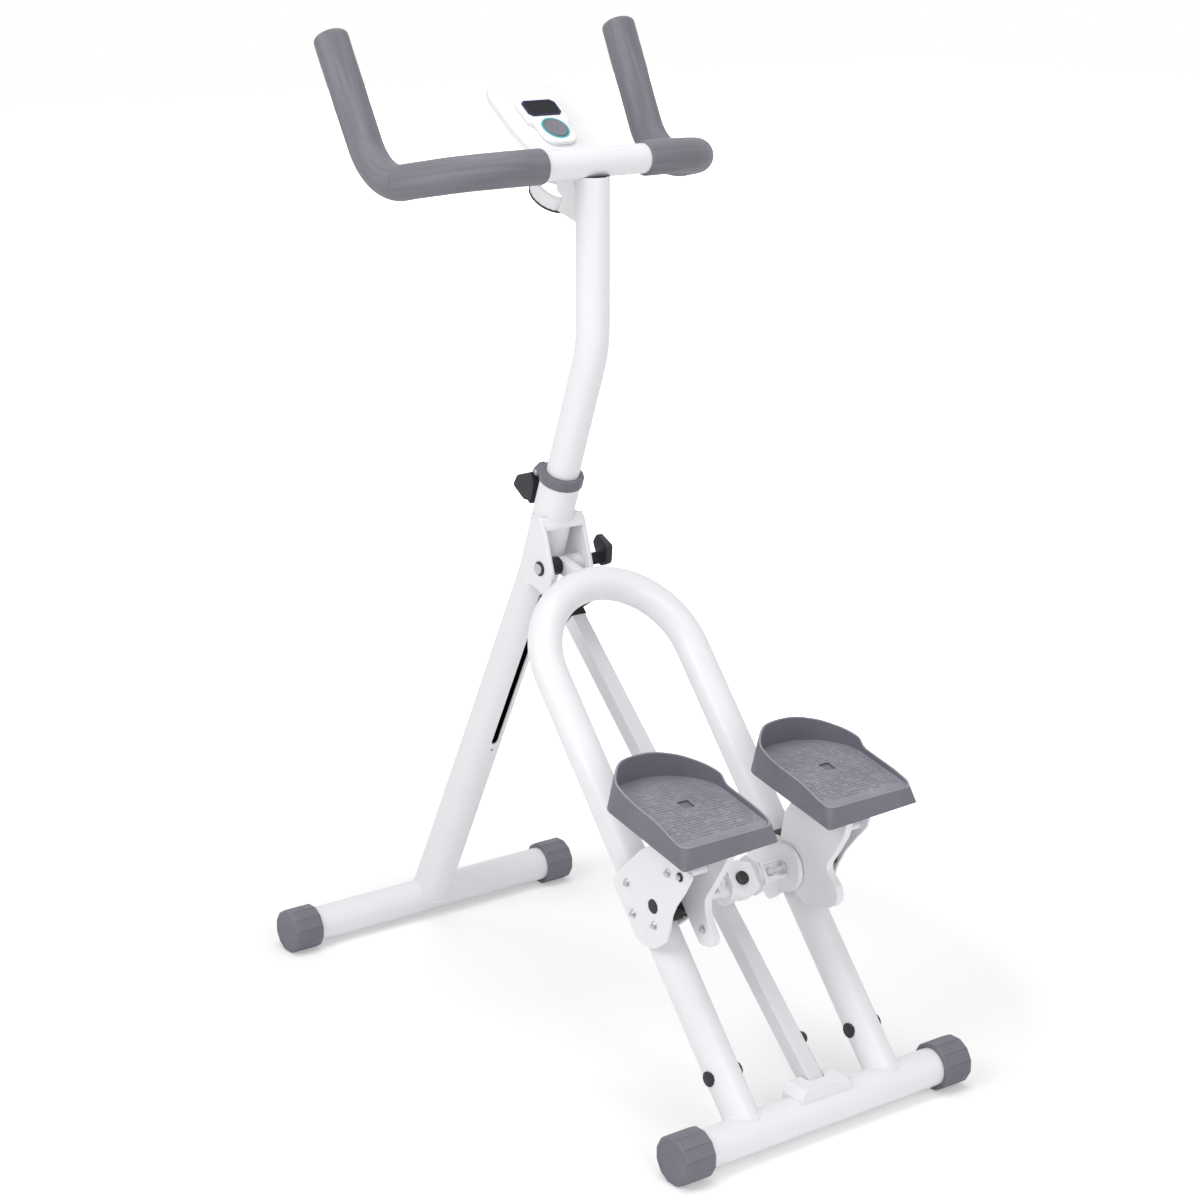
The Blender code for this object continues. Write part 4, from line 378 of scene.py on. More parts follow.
def moulded_skin(tree, at, given):
    """Moulded plastic: a fine sparked grain, pale scuffs drawn one way, and a little cloud."""
    colour = given["Colour"]
    clouds = spread(tree, grain(tree, at, 16.0, 4.0, 0.5), 0.3, 0.7)
    shade = blend_colour(tree, times(tree, clouds, given["Cloud"]), colour, toned(tree, colour, 1.45))
    drawn = drawn_out(tree, at, (26.0, 190.0, 120.0), (0.3, 0.2, 0.5))
    scuffs = spread(tree, grain(tree, drawn, 1.0, 3.0), 0.63, 0.78)
    zones = spread(tree, grain(tree, at, 24.0), 0.50, 0.68)
    worn = times(tree, times(tree, scuffs, zones), given["Scuff"])
    shade = blend_colour(tree, worn, shade, toned(tree, colour, 2.3))
    rough = times(tree, given["Gloss"], spread(tree, grain(tree, at, 55.0, 3.0), 0.3, 0.7, 0.85, 1.20))
    spark = grain(tree, at, given["Grain Scale"], 3.0)
    height = plus(tree, spark, times(tree, grain(tree, at, 140.0, 1.0), 0.5))
    return dusted(tree, shade, given["Dust"]), rough, height


def foam_skin(tree, at, given):
    """Closed-cell foam: cells whose hollows are darkened as painted shade, soft bands along the sleeve from
    its own map, and rubbed patches.
    """
    run = put(tree, "ShaderNodeUVMap", uv_map="sleeve").outputs[0]
    bands = spread(tree, grain(tree, drawn_out(tree, run, (7.0, 15.0, 1.0)), 1.0, 4.0, 0.5), 0.36, 0.70)
    nicks = spread(tree, grain(tree, drawn_out(tree, run, (60.0, 42.0, 1.0)), 1.0, 3.0), 0.66, 0.80)
    factor = times(tree, plus(tree, bands, times(tree, nicks, 0.5)), given["Bands"])
    shade = blend_colour(tree, factor, given["Colour"], given["Pale"])
    pits = spread(tree, cells(tree, at, given["Cell Scale"]), 0.0, 0.5)
    # The hollows of the cells darkened: painted shade
    pit_shade = times(tree, maths(tree, "SUBTRACT", 1.0, pits), 0.25)
    shade = blend_colour(tree, pit_shade, shade, PIT_SHADE_TONE)
    height = plus(tree, pits, times(tree, grain(tree, at, 60.0), 1.5))
    return shade, spread(tree, bands, 0.0, 1.0, 0.52, 0.70), height


def plated_skin(tree, at, given):
    """Plated or drawn steel: fine lines of polish, with dull blooms."""
    lines = grain(tree, drawn_out(tree, at, (160.0, 900.0, 900.0)), 1.0)
    blooms = spread(tree, grain(tree, at, 120.0, 4.0, 0.5), 0.42, 0.66)
    dull = toned(tree, given["Colour"], 0.55)
    shade = blend_colour(tree, times(tree, blooms, given["Bloom"]), given["Colour"], dull)
    return shade, plus(tree, given["Gloss"], spread(tree, lines, 0.3, 0.7, -0.06, 0.10)), lines


SKIN = {"Colour": "Color", "Roughness": "Float", "Height": "Float"}
COAT = shader_group("coat_skin", {
    "Colour": GREY, "Cloud": 0.05, "Peel Scale": 420.0, "Fleck": 0.5, "Gloss": 0.28, "Dust": 0.1,
}, SKIN, coat_skin)
MOULDED = shader_group("moulded_skin", {
    "Colour": GREY, "Cloud": 0.2, "Grain Scale": 1400.0, "Scuff": 0.3, "Gloss": 0.5, "Dust": 0.1,
}, SKIN, moulded_skin)
FOAM = shader_group(
    "foam_skin", {"Colour": GREY, "Pale": GREY, "Bands": 0.5, "Cell Scale": 900.0}, SKIN, foam_skin
)
PLATED = shader_group("plated_skin", {"Colour": GREY, "Bloom": 0.4, "Gloss": 0.3}, SKIN, plated_skin)


def finish(name, skin, depth, constants, *values):
    """Material whose colour, gloss and relief come from a skin group. Depth is the relief in metres."""
    made = bpy.data.materials.new(name)
    made.use_nodes = True
    tree = made.node_tree
    shader = tree.nodes["Principled BSDF"]
    for socket, value in constants.items():
        shader.inputs[socket].default_value = value
    group = put(tree, "ShaderNodeGroup", node_tree=skin)
    for socket, value in zip(group.inputs, values, strict=True):
        socket.default_value = (*value, 1.0) if isinstance(value, tuple) else value
    bump = {"Strength": 1.0, "Distance": depth, "Height": group.outputs["Height"]}
    relief = put(tree, "ShaderNodeBump", bump)
    tree.links.new(group.outputs["Colour"], shader.inputs["Base Color"])
    tree.links.new(group.outputs["Roughness"], shader.inputs["Roughness"])
    tree.links.new(relief.outputs["Normal"], shader.inputs["Normal"])
    return made


# Skin, relief, the shader's own values, then the values of the skin's inputs in their order
FINISHES = {name: finish(name, *row) for name, row in {
    WHITE_COAT: (
        COAT, 0.000015, {"Specular IOR Level": 0.40, "Coat Weight": 0.15, "Coat Roughness": 0.16},
        (0.86, 0.855, 0.885), 0.010, 520.0, 0.25, 0.30, 0.01,
    ),
    # satin_shaded_coat: a greyer, duller copy of the white coat; its grey is painted shade on the centre bar
    # and the right hinge bush
    "satin_shaded_coat": (
        COAT, 0.000015, {"Specular IOR Level": 0.45}, (0.72, 0.72, 0.75), 0.020, 520.0, 0.25, 0.34, 0.01
    ),
    "white_plastic": (
        MOULDED, 0.00003, {"Coat Weight": 0.15, "Coat Roughness": 0.25},
        (0.87, 0.87, 0.89), 0.0, 1700.0, 0.0, 0.36, 0.06,
    ),
    "grey_plastic": (MOULDED, 0.00006, {}, (0.145, 0.145, 0.174), 0.40, 1300.0, 0.30, 0.50, 0.06),
    # tread_painted_light_grey: the tread's top faces and ribs in a paler grey than the tray, painted light
    # from above
    "tread_painted_light_grey": (MOULDED, 0.00008, {}, (0.215, 0.215, 0.255), 0.40, 1000.0, 0.35, 0.55, 0.10),
    # grey_painted_highlight: a paler grey for the rim's rounded edge of the pedals, a painted highlight
    "grey_painted_highlight": (MOULDED, 0.00005, {}, (0.260, 0.260, 0.300), 0.30, 1300.0, 0.40, 0.42, 0.06),
    "dark_plastic": (
        MOULDED, 0.00005, {"Specular IOR Level": 0.35}, (0.022, 0.023, 0.030), 0.35, 1500.0, 0.30, 0.42, 0.04,
    ),
    "black_nylon": (MOULDED, 0.00006, {}, (0.012, 0.012, 0.013), 0.4, 1100.0, 0.4, 0.48, 0.05),
    "grey_foam": (
        FOAM, 0.00012, {"Specular IOR Level": 0.45, "Sheen Weight": 0.10, "Sheen Roughness": 0.5},
        (0.150, 0.150, 0.176), (0.255, 0.255, 0.290), 0.55, 1100.0,
    ),
    "zinc_plate": (PLATED, 0.00002, {"Metallic": 1.0}, (0.62, 0.62, 0.64), 0.45, 0.28),
    "spring_steel": (PLATED, 0.00002, {"Metallic": 1.0}, (0.30, 0.30, 0.32), 0.6, 0.33),
    "display_glass": (
        MOULDED, 0.000004, {"Specular IOR Level": 0.12, "Coat Weight": 0.12, "Coat Roughness": 0.06},
        (0.006, 0.007, 0.011), 0.8, 60.0, 0.02, 0.14, 0.006,
    ),
    "teal_ring": (
        MOULDED, 0.00002, {"Coat Weight": 0.4, "Coat Roughness": 0.1},
        (0.0, 0.34, 0.40), 0.2, 1600.0, 0.1, 0.32, 0.02,
    ),
    # bore_painted_shade: near-black for the tubes' insides, painted shade
    "bore_painted_shade": (PLATED, 0.00005, {"Metallic": 0.2}, (0.009, 0.009, 0.009), 0.6, 0.60),
    "display_bezel": (
        MOULDED, 0.000008, {"Specular IOR Level": 0.20, "Coat Weight": 0.15, "Coat Roughness": 0.08},
        (0.006, 0.012, 0.060), 0.3, 900.0, 0.02, 0.16, 0.01,
    ),
}.items()}


# Building helpers

def axes_at(origin, ex, ey, ez):
    """Placement matrix from an origin and three axes."""
    matrix = Matrix((ex, ey, ez)).transposed().to_4x4()
    matrix.translation = origin
    return matrix


def linked(name, data):
    """New object in the scene, at the origin."""
    obj = bpy.data.objects.new(name, data)
    bpy.context.scene.collection.objects.link(obj)
    return obj


def shaded(mesh, angle):
    mesh.shade_smooth()
    mesh.set_sharp_from_angle(angle=radians(angle))


def made_mesh(name, bm, matrix, materials, smooth=35.0):
    """Object at the origin, its place in its mesh."""
    if matrix:
        bmesh.ops.transform(bm, matrix=matrix, verts=bm.verts)
    bmesh.ops.remove_doubles(bm, verts=bm.verts, dist=1e-7)
    bmesh.ops.recalc_face_normals(bm, faces=bm.faces)
    mesh = bpy.data.meshes.new(name)
    bm.to_mesh(mesh)
    bm.free()
    for material in materials:
        mesh.materials.append(FINISHES[material])
    shaded(mesh, smooth)
    return linked(name, mesh)


def settled(obj):
    """Replaces the object's mesh by what its modifiers make of it, and removes them."""
    bpy.context.view_layer.update()
    graph = bpy.context.evaluated_depsgraph_get()
    mesh = bpy.data.meshes.new_from_object(
        obj.evaluated_get(graph), preserve_all_data_layers=True, depsgraph=graph
    )
    obj.modifiers.clear()
    obj.data = mesh
    return obj


def cut(obj, tool, operation="DIFFERENCE", smooth=35.0):
    """Cuts or joins a helper object, then removes the helper."""
    modifier = obj.modifiers.new("cut", "BOOLEAN")
    modifier.solver = "EXACT"
    modifier.operation = operation
    modifier.object = tool
    settled(obj)
    bpy.data.objects.remove(tool, do_unlink=True)
    bm = bmesh.new()
    bm.from_mesh(obj.data)
    bmesh.ops.remove_doubles(bm, verts=bm.verts, dist=1e-6)
    bm.to_mesh(obj.data)
    bm.free()
    shaded(obj.data, smooth)
    return obj


def levelled(obj):
    """Keeps the flat faces flat in shading."""
    weigh = obj.modifiers.new("weigh", "WEIGHTED_NORMAL")
    weigh.keep_sharp = True
    return settled(obj)


def rounded(obj, width, segments=3, limit=40.0, smooth=60.0):
    """Rounds the edges that are sharper than the limit."""
    bevel = obj.modifiers.new("rounding", "BEVEL")
    bevel.width = width
    bevel.segments = segments
    bevel.limit_method = "ANGLE"
    bevel.angle_limit = radians(limit)
    settled(obj)
    shaded(obj.data, smooth)
    return levelled(obj)


def shown(obj, body, slot, *nodes):
    """Carries the piece on its body, and lets it stand for the CAD nodes named."""
    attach(obj, body)
    if nodes:
        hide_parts(*nodes)
    return obj


def filleted(corners, step=7.0):
    """Closed outline with each corner (x, y, radius) rounded, as far as its sides allow."""
    outline = []
    count = len(corners)
    for i in range(count):
        here = Vector(corners[i][:2])
        before = Vector(corners[i - 1][:2]) - here
        after = Vector(corners[(i + 1) % count][:2]) - here
        angle = before.angle(after)
        radius = corners[i][2]
        if radius < 1e-5 or angle > pi - 0.02:
            outline.append(tuple(here))
            continue
        reach = min(radius / tan(angle / 2), before.length * 0.49, after.length * 0.49)
        radius = reach * tan(angle / 2)
        start = here + before.normalized() * reach
        end = here + after.normalized() * reach
        middle = here + (before.normalized() + after.normalized()).normalized() * (radius / sin(angle / 2))
        a0 = atan2(start.y - middle.y, start.x - middle.x)
        a1 = atan2(end.y - middle.y, end.x - middle.x)
        sweep = (a1 - a0 + pi) % (2 * pi) - pi
        parts = max(1, round(abs(sweep) / radians(step)))
        for k in range(parts + 1):
            turn = a0 + sweep * k / parts
            outline.append((middle.x + radius * cos(turn), middle.y + radius * sin(turn)))
    return outline


def mirrored(corners):
    """Whole outline from the corners (x, y, radius) of its right half, in order upwards."""
    left = [(-x, y, radius) for x, y, radius in corners[::-1]]
    return left[-1:] + corners + left[:-1]


def in_metres(*rows):
    """Rows of a table kept in millimetres."""
    return [tuple(value / 1000 for value in row) for row in rows]


def circle(radius, count, centre=(0.0, 0.0)):
    return [
        (centre[0] + radius * cos(2 * pi * i / count), centre[1] + radius * sin(2 * pi * i / count))
        for i in range(count)
    ]


def prism(name, outline, low, high, matrix, *materials):
    """Outline in X and Y, raised from low to high in Z."""
    bm = bmesh.new()
    base = [bm.verts.new((x, y, min(low, high))) for x, y in outline]
    lifted = bmesh.ops.extrude_face_region(bm, geom=[bm.faces.new(base)])
    top = [v for v in lifted["geom"] if isinstance(v, bmesh.types.BMVert)]
    bmesh.ops.translate(bm, verts=top, vec=(0, 0, abs(high - low)))
    return made_mesh(name, bm, matrix, materials)


def joined_rings(bm, rings, first=True, last=True, index=0):
    """Skin over rings of equal count, with flat ends where asked."""
    loops = [[bm.verts.new(p) for p in ring] for ring in rings]
    for lower, upper in zip(loops, loops[1:]):
        count = len(lower)
        for i in range(count):
            j = (i + 1) % count
            bm.faces.new((lower[i], lower[j], upper[j], upper[i])).material_index = index
    if first:
        bm.faces.new(loops[0][::-1]).material_index = index
    if last:
        bm.faces.new(loops[-1]).material_index = index
    return loops


def turned(name, profile, matrix, sides, *materials):
    """Solid of revolution about local Z, from (radius, height) pairs in order."""
    rings = [[(*point, z) for point in circle(r, sides)] for r, z in profile]
    bm = bmesh.new()
    closed = profile[0] == profile[-1]
    joined_rings(bm, rings, not closed, not closed)
    return made_mesh(name, bm, matrix, materials)


def bent_path(corners, radii, step=3.0):
    """Polyline through corners, each inner corner turned to its bend radius."""
    points = [Vector(corners[0])]
    for before, here, after, radius in zip(corners, corners[1:], corners[2:], radii):
        d1 = (Vector(here) - Vector(before)).normalized()
        d2 = (Vector(after) - Vector(here)).normalized()
        angle = acos(max(-1.0, min(1.0, d1.dot(d2))))
        start = Vector(here) - d1 * radius * tan(angle / 2)
        normal = (d2 - d1 * d1.dot(d2)).normalized()
        centre = start + normal * radius
        parts = max(2, round(angle / radians(step)))
        for k in range(parts + 1):
            turn = angle * k / parts
            points.append(centre - normal * radius * cos(turn) + d1 * radius * sin(turn))
    points.append(Vector(corners[-1]))
    return points


def swept_rings(path, radii, sides, up):
    """Rings square to a path, turned as little as the path allows."""
    rings = []
    normal = None
    for i, point in enumerate(path):
        tangent = (path[min(i + 1, len(path) - 1)] - path[max(i - 1, 0)]).normalized()
        across = up if normal is None else normal
        normal = (across - tangent * across.dot(tangent)).normalized()
        side = tangent.cross(normal)
        rings.append([
            point + (normal * cos(2 * pi * k / sides) + side * sin(2 * pi * k / sides)) * radii[i]
            for k in range(sides)
        ])
    return rings


def tube(name, path, radius, wall, sides, up=ACROSS):
    """Painted tube along a path, open at both ends, its inside near-black as painted shade."""
    bm = bmesh.new()
    outer = joined_rings(bm, swept_rings(path, [radius] * len(path), sides, up), False, False)
    inner = joined_rings(bm, swept_rings(path, [radius - wall] * len(path), sides, up), False, False, 1)
    for skin, core in ((outer[0], inner[0]), (outer[-1], inner[-1])):
        for i in range(sides):
            j = (i + 1) % sides
            bm.faces.new((skin[i], skin[j], core[j], core[i]))
    return made_mesh(name, bm, None, (WHITE_COAT, "bore_painted_shade"))


def rod(start, end, radius, sides, up=ACROSS):
    """Helper cylinder from one point to another."""
    bm = bmesh.new()
    path = [Vector(start), Vector(end)]
    joined_rings(bm, swept_rings(path, [radius, radius], sides, up))
    return made_mesh("helper", bm, None, ())


def turned_piece(name, profile, matrix, sides, coat, body, *nodes):
    return shown(levelled(turned(name, profile, matrix, sides, coat)), body, coat, *nodes)


def block(low, high, matrix):
    """Helper box between two local corners."""
    outline = [(low[0], low[1]), (high[0], low[1]), (high[0], high[1]), (low[0], high[1])]
    return prism("helper", outline, low[2], high[2], matrix)


SLOT_OF = {part["node"]: part["material_slot"] for part in frame["record"]["subparts"]}


def dressed(node, coat=None, smooth=50.0):
    """Finished copy of a CAD node, merged and shaded smooth, in another coat where asked."""
    source = frame["nodes"][node]
    bm = bmesh.new()
    bm.from_mesh(source.data)
    bmesh.ops.remove_doubles(bm, verts=bm.verts, dist=2e-6)
    bmesh.ops.dissolve_limit(bm, angle_limit=radians(0.5), verts=bm.verts, edges=bm.edges)
    for layer in list(bm.loops.layers.uv):
        bm.loops.layers.uv.remove(layer)
    obj = made_mesh(node + "_finish", bm, None, (coat or SLOT_OF[node],), smooth)
    for face in obj.data.polygons:
        face.material_index = 0
    return shown(levelled(obj), source["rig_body"], SLOT_OF[node], node)


# Geometry node trees for what repeats or follows a line

def geometry_group(name, inputs):
    """Geometry tree with named inputs: the tree, its inputs' sockets, and a function that ends it."""
    tree = bpy.data.node_groups.new(name, "GeometryNodeTree")
    tree.interface.new_socket("Geometry", in_out="INPUT", socket_type="NodeSocketGeometry")
    for label, value in inputs.items():
        named_input(tree, label, value)
    tree.interface.new_socket("Finish", in_out="INPUT", socket_type="NodeSocketMaterial")
    tree.interface.new_socket("Geometry", in_out="OUTPUT", socket_type="NodeSocketGeometry")
    given = tree.nodes.new("NodeGroupInput").outputs

    def end(geometry, smooth=True):
        values = {"Geometry": geometry, "Shade Smooth": smooth}
        shade = put(tree, "GeometryNodeSetShadeSmooth", values, domain="FACE")
        whole = put(tree, "GeometryNodeRealizeInstances", {"Geometry": shade.outputs[0]})
        values = {"Geometry": whole.outputs[0], "Material": given["Finish"]}
        named = put(tree, "GeometryNodeSetMaterial", values)
        tree.links.new(named.outputs[0], tree.nodes.new("NodeGroupOutput").inputs["Geometry"])
        return tree

    return tree, given, end


def even_lines(tree, mesh, step):
    """The edges of a mesh as curves, with points at even steps."""
    line = put(tree, "GeometryNodeMeshToCurve", {"Mesh": mesh})
    values = {"Curve": line.outputs[0], "Length": step}
    return put(tree, "GeometryNodeResampleCurve", values, mode="LENGTH").outputs[0]


def round_profile(tree, sides, radius):
    values = {"Resolution": sides, "Radius": radius}
    return put(tree, "GeometryNodeCurvePrimitiveCircle", values, mode="RADIUS").outputs["Curve"]


def drawn_along(tree, curve, profile, size=1.0):
    """Profile drawn along a curve, its ends closed."""
    values = {"Curve": curve, "Profile Curve": profile, "Scale": size, "Fill Caps": True}
    return put(tree, "GeometryNodeCurveToMesh", values).outputs[0]


def bead_tree():
    """Bead of weld that runs along lines, its swell repeated as the torch moved."""
    tree, given, end = geometry_group(
        "weld_bead", {"Bead Radius": 0.002, "Swell": 0.15, "Step": 0.0012, "Sides": 12}
    )
    index = put(tree, "GeometryNodeInputIndex").outputs[0]
    wave = maths(tree, "SINE", times(tree, index, 1.7))
    size = plus(tree, times(tree, wave, given["Swell"]), 1.0)
    ring = round_profile(tree, given["Sides"], given["Bead Radius"])
    return end(drawn_along(tree, even_lines(tree, given["Geometry"], given["Step"]), ring, size))


def rib_tree():
    """Low ribs along separate lines, each a little wavy, as on a worn tread."""
    tree, given, end = geometry_group("tread_ribs", {
        "Rib Width": 0.002, "Rib Height": 0.0006, "Wander": 0.0005, "Side": (0.0, 1.0, 0.0), "Seed": 3,
    })
    place = put(tree, "GeometryNodeInputPosition").outputs[0]

    def seeded(scale, detail):
        values = {"Vector": place, "W": given["Seed"], "Scale": scale, "Detail": detail}
        return put(tree, "ShaderNodeTexNoise", values, noise_dimensions="4D").outputs["Fac"]

    off = times(tree, maths(tree, "SUBTRACT", seeded(52.0, 2.0), 0.5), given["Wander"])
    move = put(tree, "ShaderNodeVectorMath", {0: given["Side"], "Scale": off}, operation="SCALE").outputs[0]
    lines = even_lines(tree, given["Geometry"], 0.0022)
    bent = put(tree, "GeometryNodeSetPosition", {"Geometry": lines, "Offset": move}).outputs[0]
    size = spread(tree, seeded(85.0, 1.0), 0.34, 0.50, 0.30)
    values = {"X": given["Rib Height"], "Y": given["Rib Width"], "Z": 1.0}
    flat = put(tree, "ShaderNodeCombineXYZ", values).outputs[0]
    ring = round_profile(tree, 8, 0.5)
    profile = put(tree, "GeometryNodeTransform", {"Geometry": ring, "Scale": flat}).outputs[0]
    return end(drawn_along(tree, bent, profile, size))


def bolt_tree():
    """Washer and hexagon head on each point, turned to the point's own aim."""
    tree, given, end = geometry_group("bolt_heads", {
        "Hex Radius": 0.005, "Hex Height": 0.0035, "Washer Radius": 0.0078, "Washer Height": 0.0009,
    })
    wide, thick = given["Washer Radius"], given["Washer Height"]
    across, tall = given["Hex Radius"], given["Hex Height"]
    edge = times(tree, thick, 0.6)
    shoulder = plus(tree, thick, times(tree, tall, 0.72))
    whole = put(tree, "GeometryNodeJoinGeometry")
    for sides, low, high, radius_low, radius_high in (
        (24, -0.0008, edge, wide, wide),
        (24, edge, thick, wide, times(tree, wide, 0.94)),
        (6, thick, shoulder, across, across),
        (6, shoulder, plus(tree, thick, tall), across, times(tree, across, 0.80)),
    ):
        depth = maths(tree, "SUBTRACT", high, low)
        values = {"Vertices": sides, "Radius Top": radius_high, "Radius Bottom": radius_low, "Depth": depth}
        cone = put(tree, "GeometryNodeMeshCone", values, fill_type="NGON").outputs["Mesh"]
        lift = put(tree, "ShaderNodeCombineXYZ", {"Z": low}).outputs[0]
        part = put(tree, "GeometryNodeTransform", {"Geometry": cone, "Translation": lift})
        tree.links.new(part.outputs[0], whole.inputs[0])
    aim = put(tree, "GeometryNodeInputNamedAttribute", {"Name": "aim"}, data_type="FLOAT_VECTOR").outputs[0]
    turn = put(tree, "FunctionNodeAlignRotationToVector", {"Vector": aim}, axis="Z").outputs[0]
    values = {"Points": given["Geometry"], "Instance": whole.outputs[0], "Rotation": turn}
    return end(put(tree, "GeometryNodeInstanceOnPoints", values).outputs[0], False)


def coil_tree():
    """Helical spring."""
    tree, given, end = geometry_group("coil_spring", {
        "Turns": 4.0, "Coil Radius": 0.007, "Length": 0.04, "Wire Radius": 0.0023,
    })
    helix = put(tree, "GeometryNodeCurveSpiral", {
        "Resolution": 40, "Rotations": given["Turns"], "Start Radius": given["Coil Radius"],
        "End Radius": given["Coil Radius"], "Height": given["Length"],
    })
    return end(drawn_along(tree, helix.outputs[0], round_profile(tree, 16, given["Wire Radius"])))


BEADS = bead_tree()
RIBS = rib_tree()
HEADS = bolt_tree()
COILS = coil_tree()


def grown(name, points, edges, tree, values, material, matrix=None, aims=None):
    """Plain mesh that a geometry tree grows from these points and edges."""
    mesh = bpy.data.meshes.new(name)
    mesh.from_pydata([tuple(p) for p in points], edges, [])
    if aims:
        layer = mesh.attributes.new("aim", "FLOAT_VECTOR", "POINT")
        layer.data.foreach_set("vector", [value for aim in aims for value in aim])
    obj = linked(name, mesh)
    modifier = obj.modifiers.new("grow", "NODES")
    modifier.node_group = tree
    sockets = {s.name: s.identifier for s in tree.interface.items_tree if s.in_out == "INPUT"}
    for label, value in values.items():
        modifier[sockets[label]] = value
    modifier[sockets["Finish"]] = FINISHES[material]
    settled(obj)
    bm = bmesh.new()
    bm.from_mesh(obj.data)
    if matrix:
        bmesh.ops.transform(bm, matrix=matrix, verts=bm.verts)
    bmesh.ops.remove_doubles(bm, verts=bm.verts, dist=1e-7)
    bmesh.ops.recalc_face_normals(bm, faces=bm.faces)
    bm.to_mesh(obj.data)
    bm.free()
    if not obj.data.materials:
        obj.data.materials.append(FINISHES[material])
    return obj


def ring_edges(count):
    return [(i, (i + 1) % count) for i in range(count)]


# Base tubes and end caps

BASES = (("front", FRONT_FOOT, FRONT_WIDTH, "stand"), ("rear", REAR_FOOT, REAR_WIDTH, "rear_frame"))
SIDES = ((-1, "left"), (1, "right"))
for label, foot, width, body in BASES:
    half = width / 2 - CAP_END - GAP
    line = [foot - ACROSS * half, foot + ACROSS * half]
    base = tube(label + "_base_finish", line, BASE_RADIUS, BASE_WALL, BASE_SIDES, UP)
    shown(base, body, WHITE_COAT, label + "_base_tube")


# Places across one facet, from its middle to its edge at 1, and how deep the groove is there
FACET_POINTS = (
    (-1.0, 1.0), (-0.95, 0.85), (-0.90, 0.1), (-0.84, 0.0), (-0.3, 0.0),
    (0.3, 0.0), (0.84, 0.0), (0.90, 0.1), (0.95, 0.85),
)
# Rings of the outer skin: distance from the cap's mouth or face, drop from its radius, depth of the groove
CAP_MOUTH = ((0.0, 0.0020, 0.0), (0.0006, 0.0007, 0.0004), (0.0020, 0.0, 0.0009))
CAP_FACE = (
    (0.0042, 0.0, 0.0009), (0.0026, 0.0004, 0.0009), (0.0012, 0.0014, 0.0004), (0.0003, 0.0030, 0.0004),
    (0.0, 0.0045, 0.0004), (0.0, 0.0062, 0.0), (0.0006, 0.0070, 0.0),
)


def cap_ring(radius, x, groove):
    """One ring of a cap: flat facets with a fine groove between them, facet 0 on the floor."""
    ring = []
    half = pi / CAP_FACETS
    for facet in range(CAP_FACETS):
        middle = -pi / 2 + facet * 2 * half
        for part, depth in FACET_POINTS:
            turn = middle + part * half
            reach = radius / cos(part * half) - groove * depth
            ring.append(Vector((x, reach * cos(turn), reach * sin(turn))))
    return ring


def end_cap(node, foot, width, side, body):
    """Ribbed cap over the end of a base tube, its rims rounded and its end face set in."""
    outer = width / 2
    inner = outer - CAP_LENGTH
    bore = BASE_RADIUS + GAP
    count = CAP_FACETS * len(FACET_POINTS)
    start = -pi / 2 - pi / CAP_FACETS
    rings = []
    for x, radius in ((outer - CAP_END, bore), (inner + 0.0010, bore), (inner, bore + 0.0010)):
        turns = [start + 2 * pi * k / count for k in range(count)]
        rings.append([Vector((x, radius * cos(turn), radius * sin(turn))) for turn in turns])
    rings += [cap_ring(CAP_RADIUS - drop, inner + on, groove) for on, drop, groove in CAP_MOUTH]
    rings += [cap_ring(CAP_RADIUS - drop, outer - back, groove) for back, drop, groove in CAP_FACE]
    bm = bmesh.new()
    joined_rings(bm, [[foot + Vector((p.x * side, p.y, p.z)) for p in ring] for ring in rings])
    cap = made_mesh(node + "_finish", bm, None, ["grey_plastic"], 40.0)
    shown(levelled(cap), body, "grey_plastic", node)


for label, foot, width, body in BASES:
    for side, hand in SIDES:
        end_cap("%s_cap_%s" % (label, hand), foot, width, side, body)


def base_cutter(foot):
    return rod(foot - ACROSS * 0.2, foot + ACROSS * 0.2, BASE_RADIUS + GAP, BASE_SIDES, UP)


# Front upright with its slot and spring

upright_path = bent_path([FRONT_FOOT + UPRIGHT_DIR * TUBE_START, UPRIGHT_BEND, STEM_TOP], [STEM_BEND], 1.0)
upright = tube("upright_finish", upright_path, UPRIGHT_RADIUS, UPRIGHT_WALL, BASE_SIDES)
cut(upright, base_cutter(FRONT_FOOT))
slot_axes = axes_at(FRONT_FOOT, ACROSS, UPRIGHT_DIR, UPRIGHT_BACK)
SLOT_CUT = (TUBE_START, UPRIGHT_RADIUS + 0.016)
spring_outer = SPRING_RADIUS + SPRING_WIRE
spring_span = SPRING_PITCH * SPRING_TURNS + 2 * SPRING_WIRE
window_half = spring_outer + 0.0005
window_low = SLOT_HIGH - spring_span - 0.0012
half_slot = SLOT_WIDTH / 2
slot_outline = filleted(mirrored([
    (half_slot, SLOT_LOW, half_slot * 0.9), (half_slot, window_low - WINDOW_TAPER, 0.006),
    (window_half, window_low, 0.006), (window_half, SLOT_HIGH, 0.003),
]), 12.0)
cut(upright, prism("helper", slot_outline, *SLOT_CUT, slot_axes))
pin_hole = circle(PIN_HOLE_RADIUS, 20, (0, SLOT_LOW - PIN_HOLE_DROP))
cut(upright, prism("helper", pin_hole, *SLOT_CUT, slot_axes))
stem_hole = UPRIGHT_BEND + STEM_DIR * (STEM_LENGTH - STEM_HOLE_DROP)
outward = (STEM_BACK + ACROSS * 0.8).normalized() * 0.05
cut(upright, rod(stem_hole, stem_hole + outward, PIN_HOLE_RADIUS, 20, STEM_DIR))
shown(upright, "stand", WHITE_COAT, "front_upright")

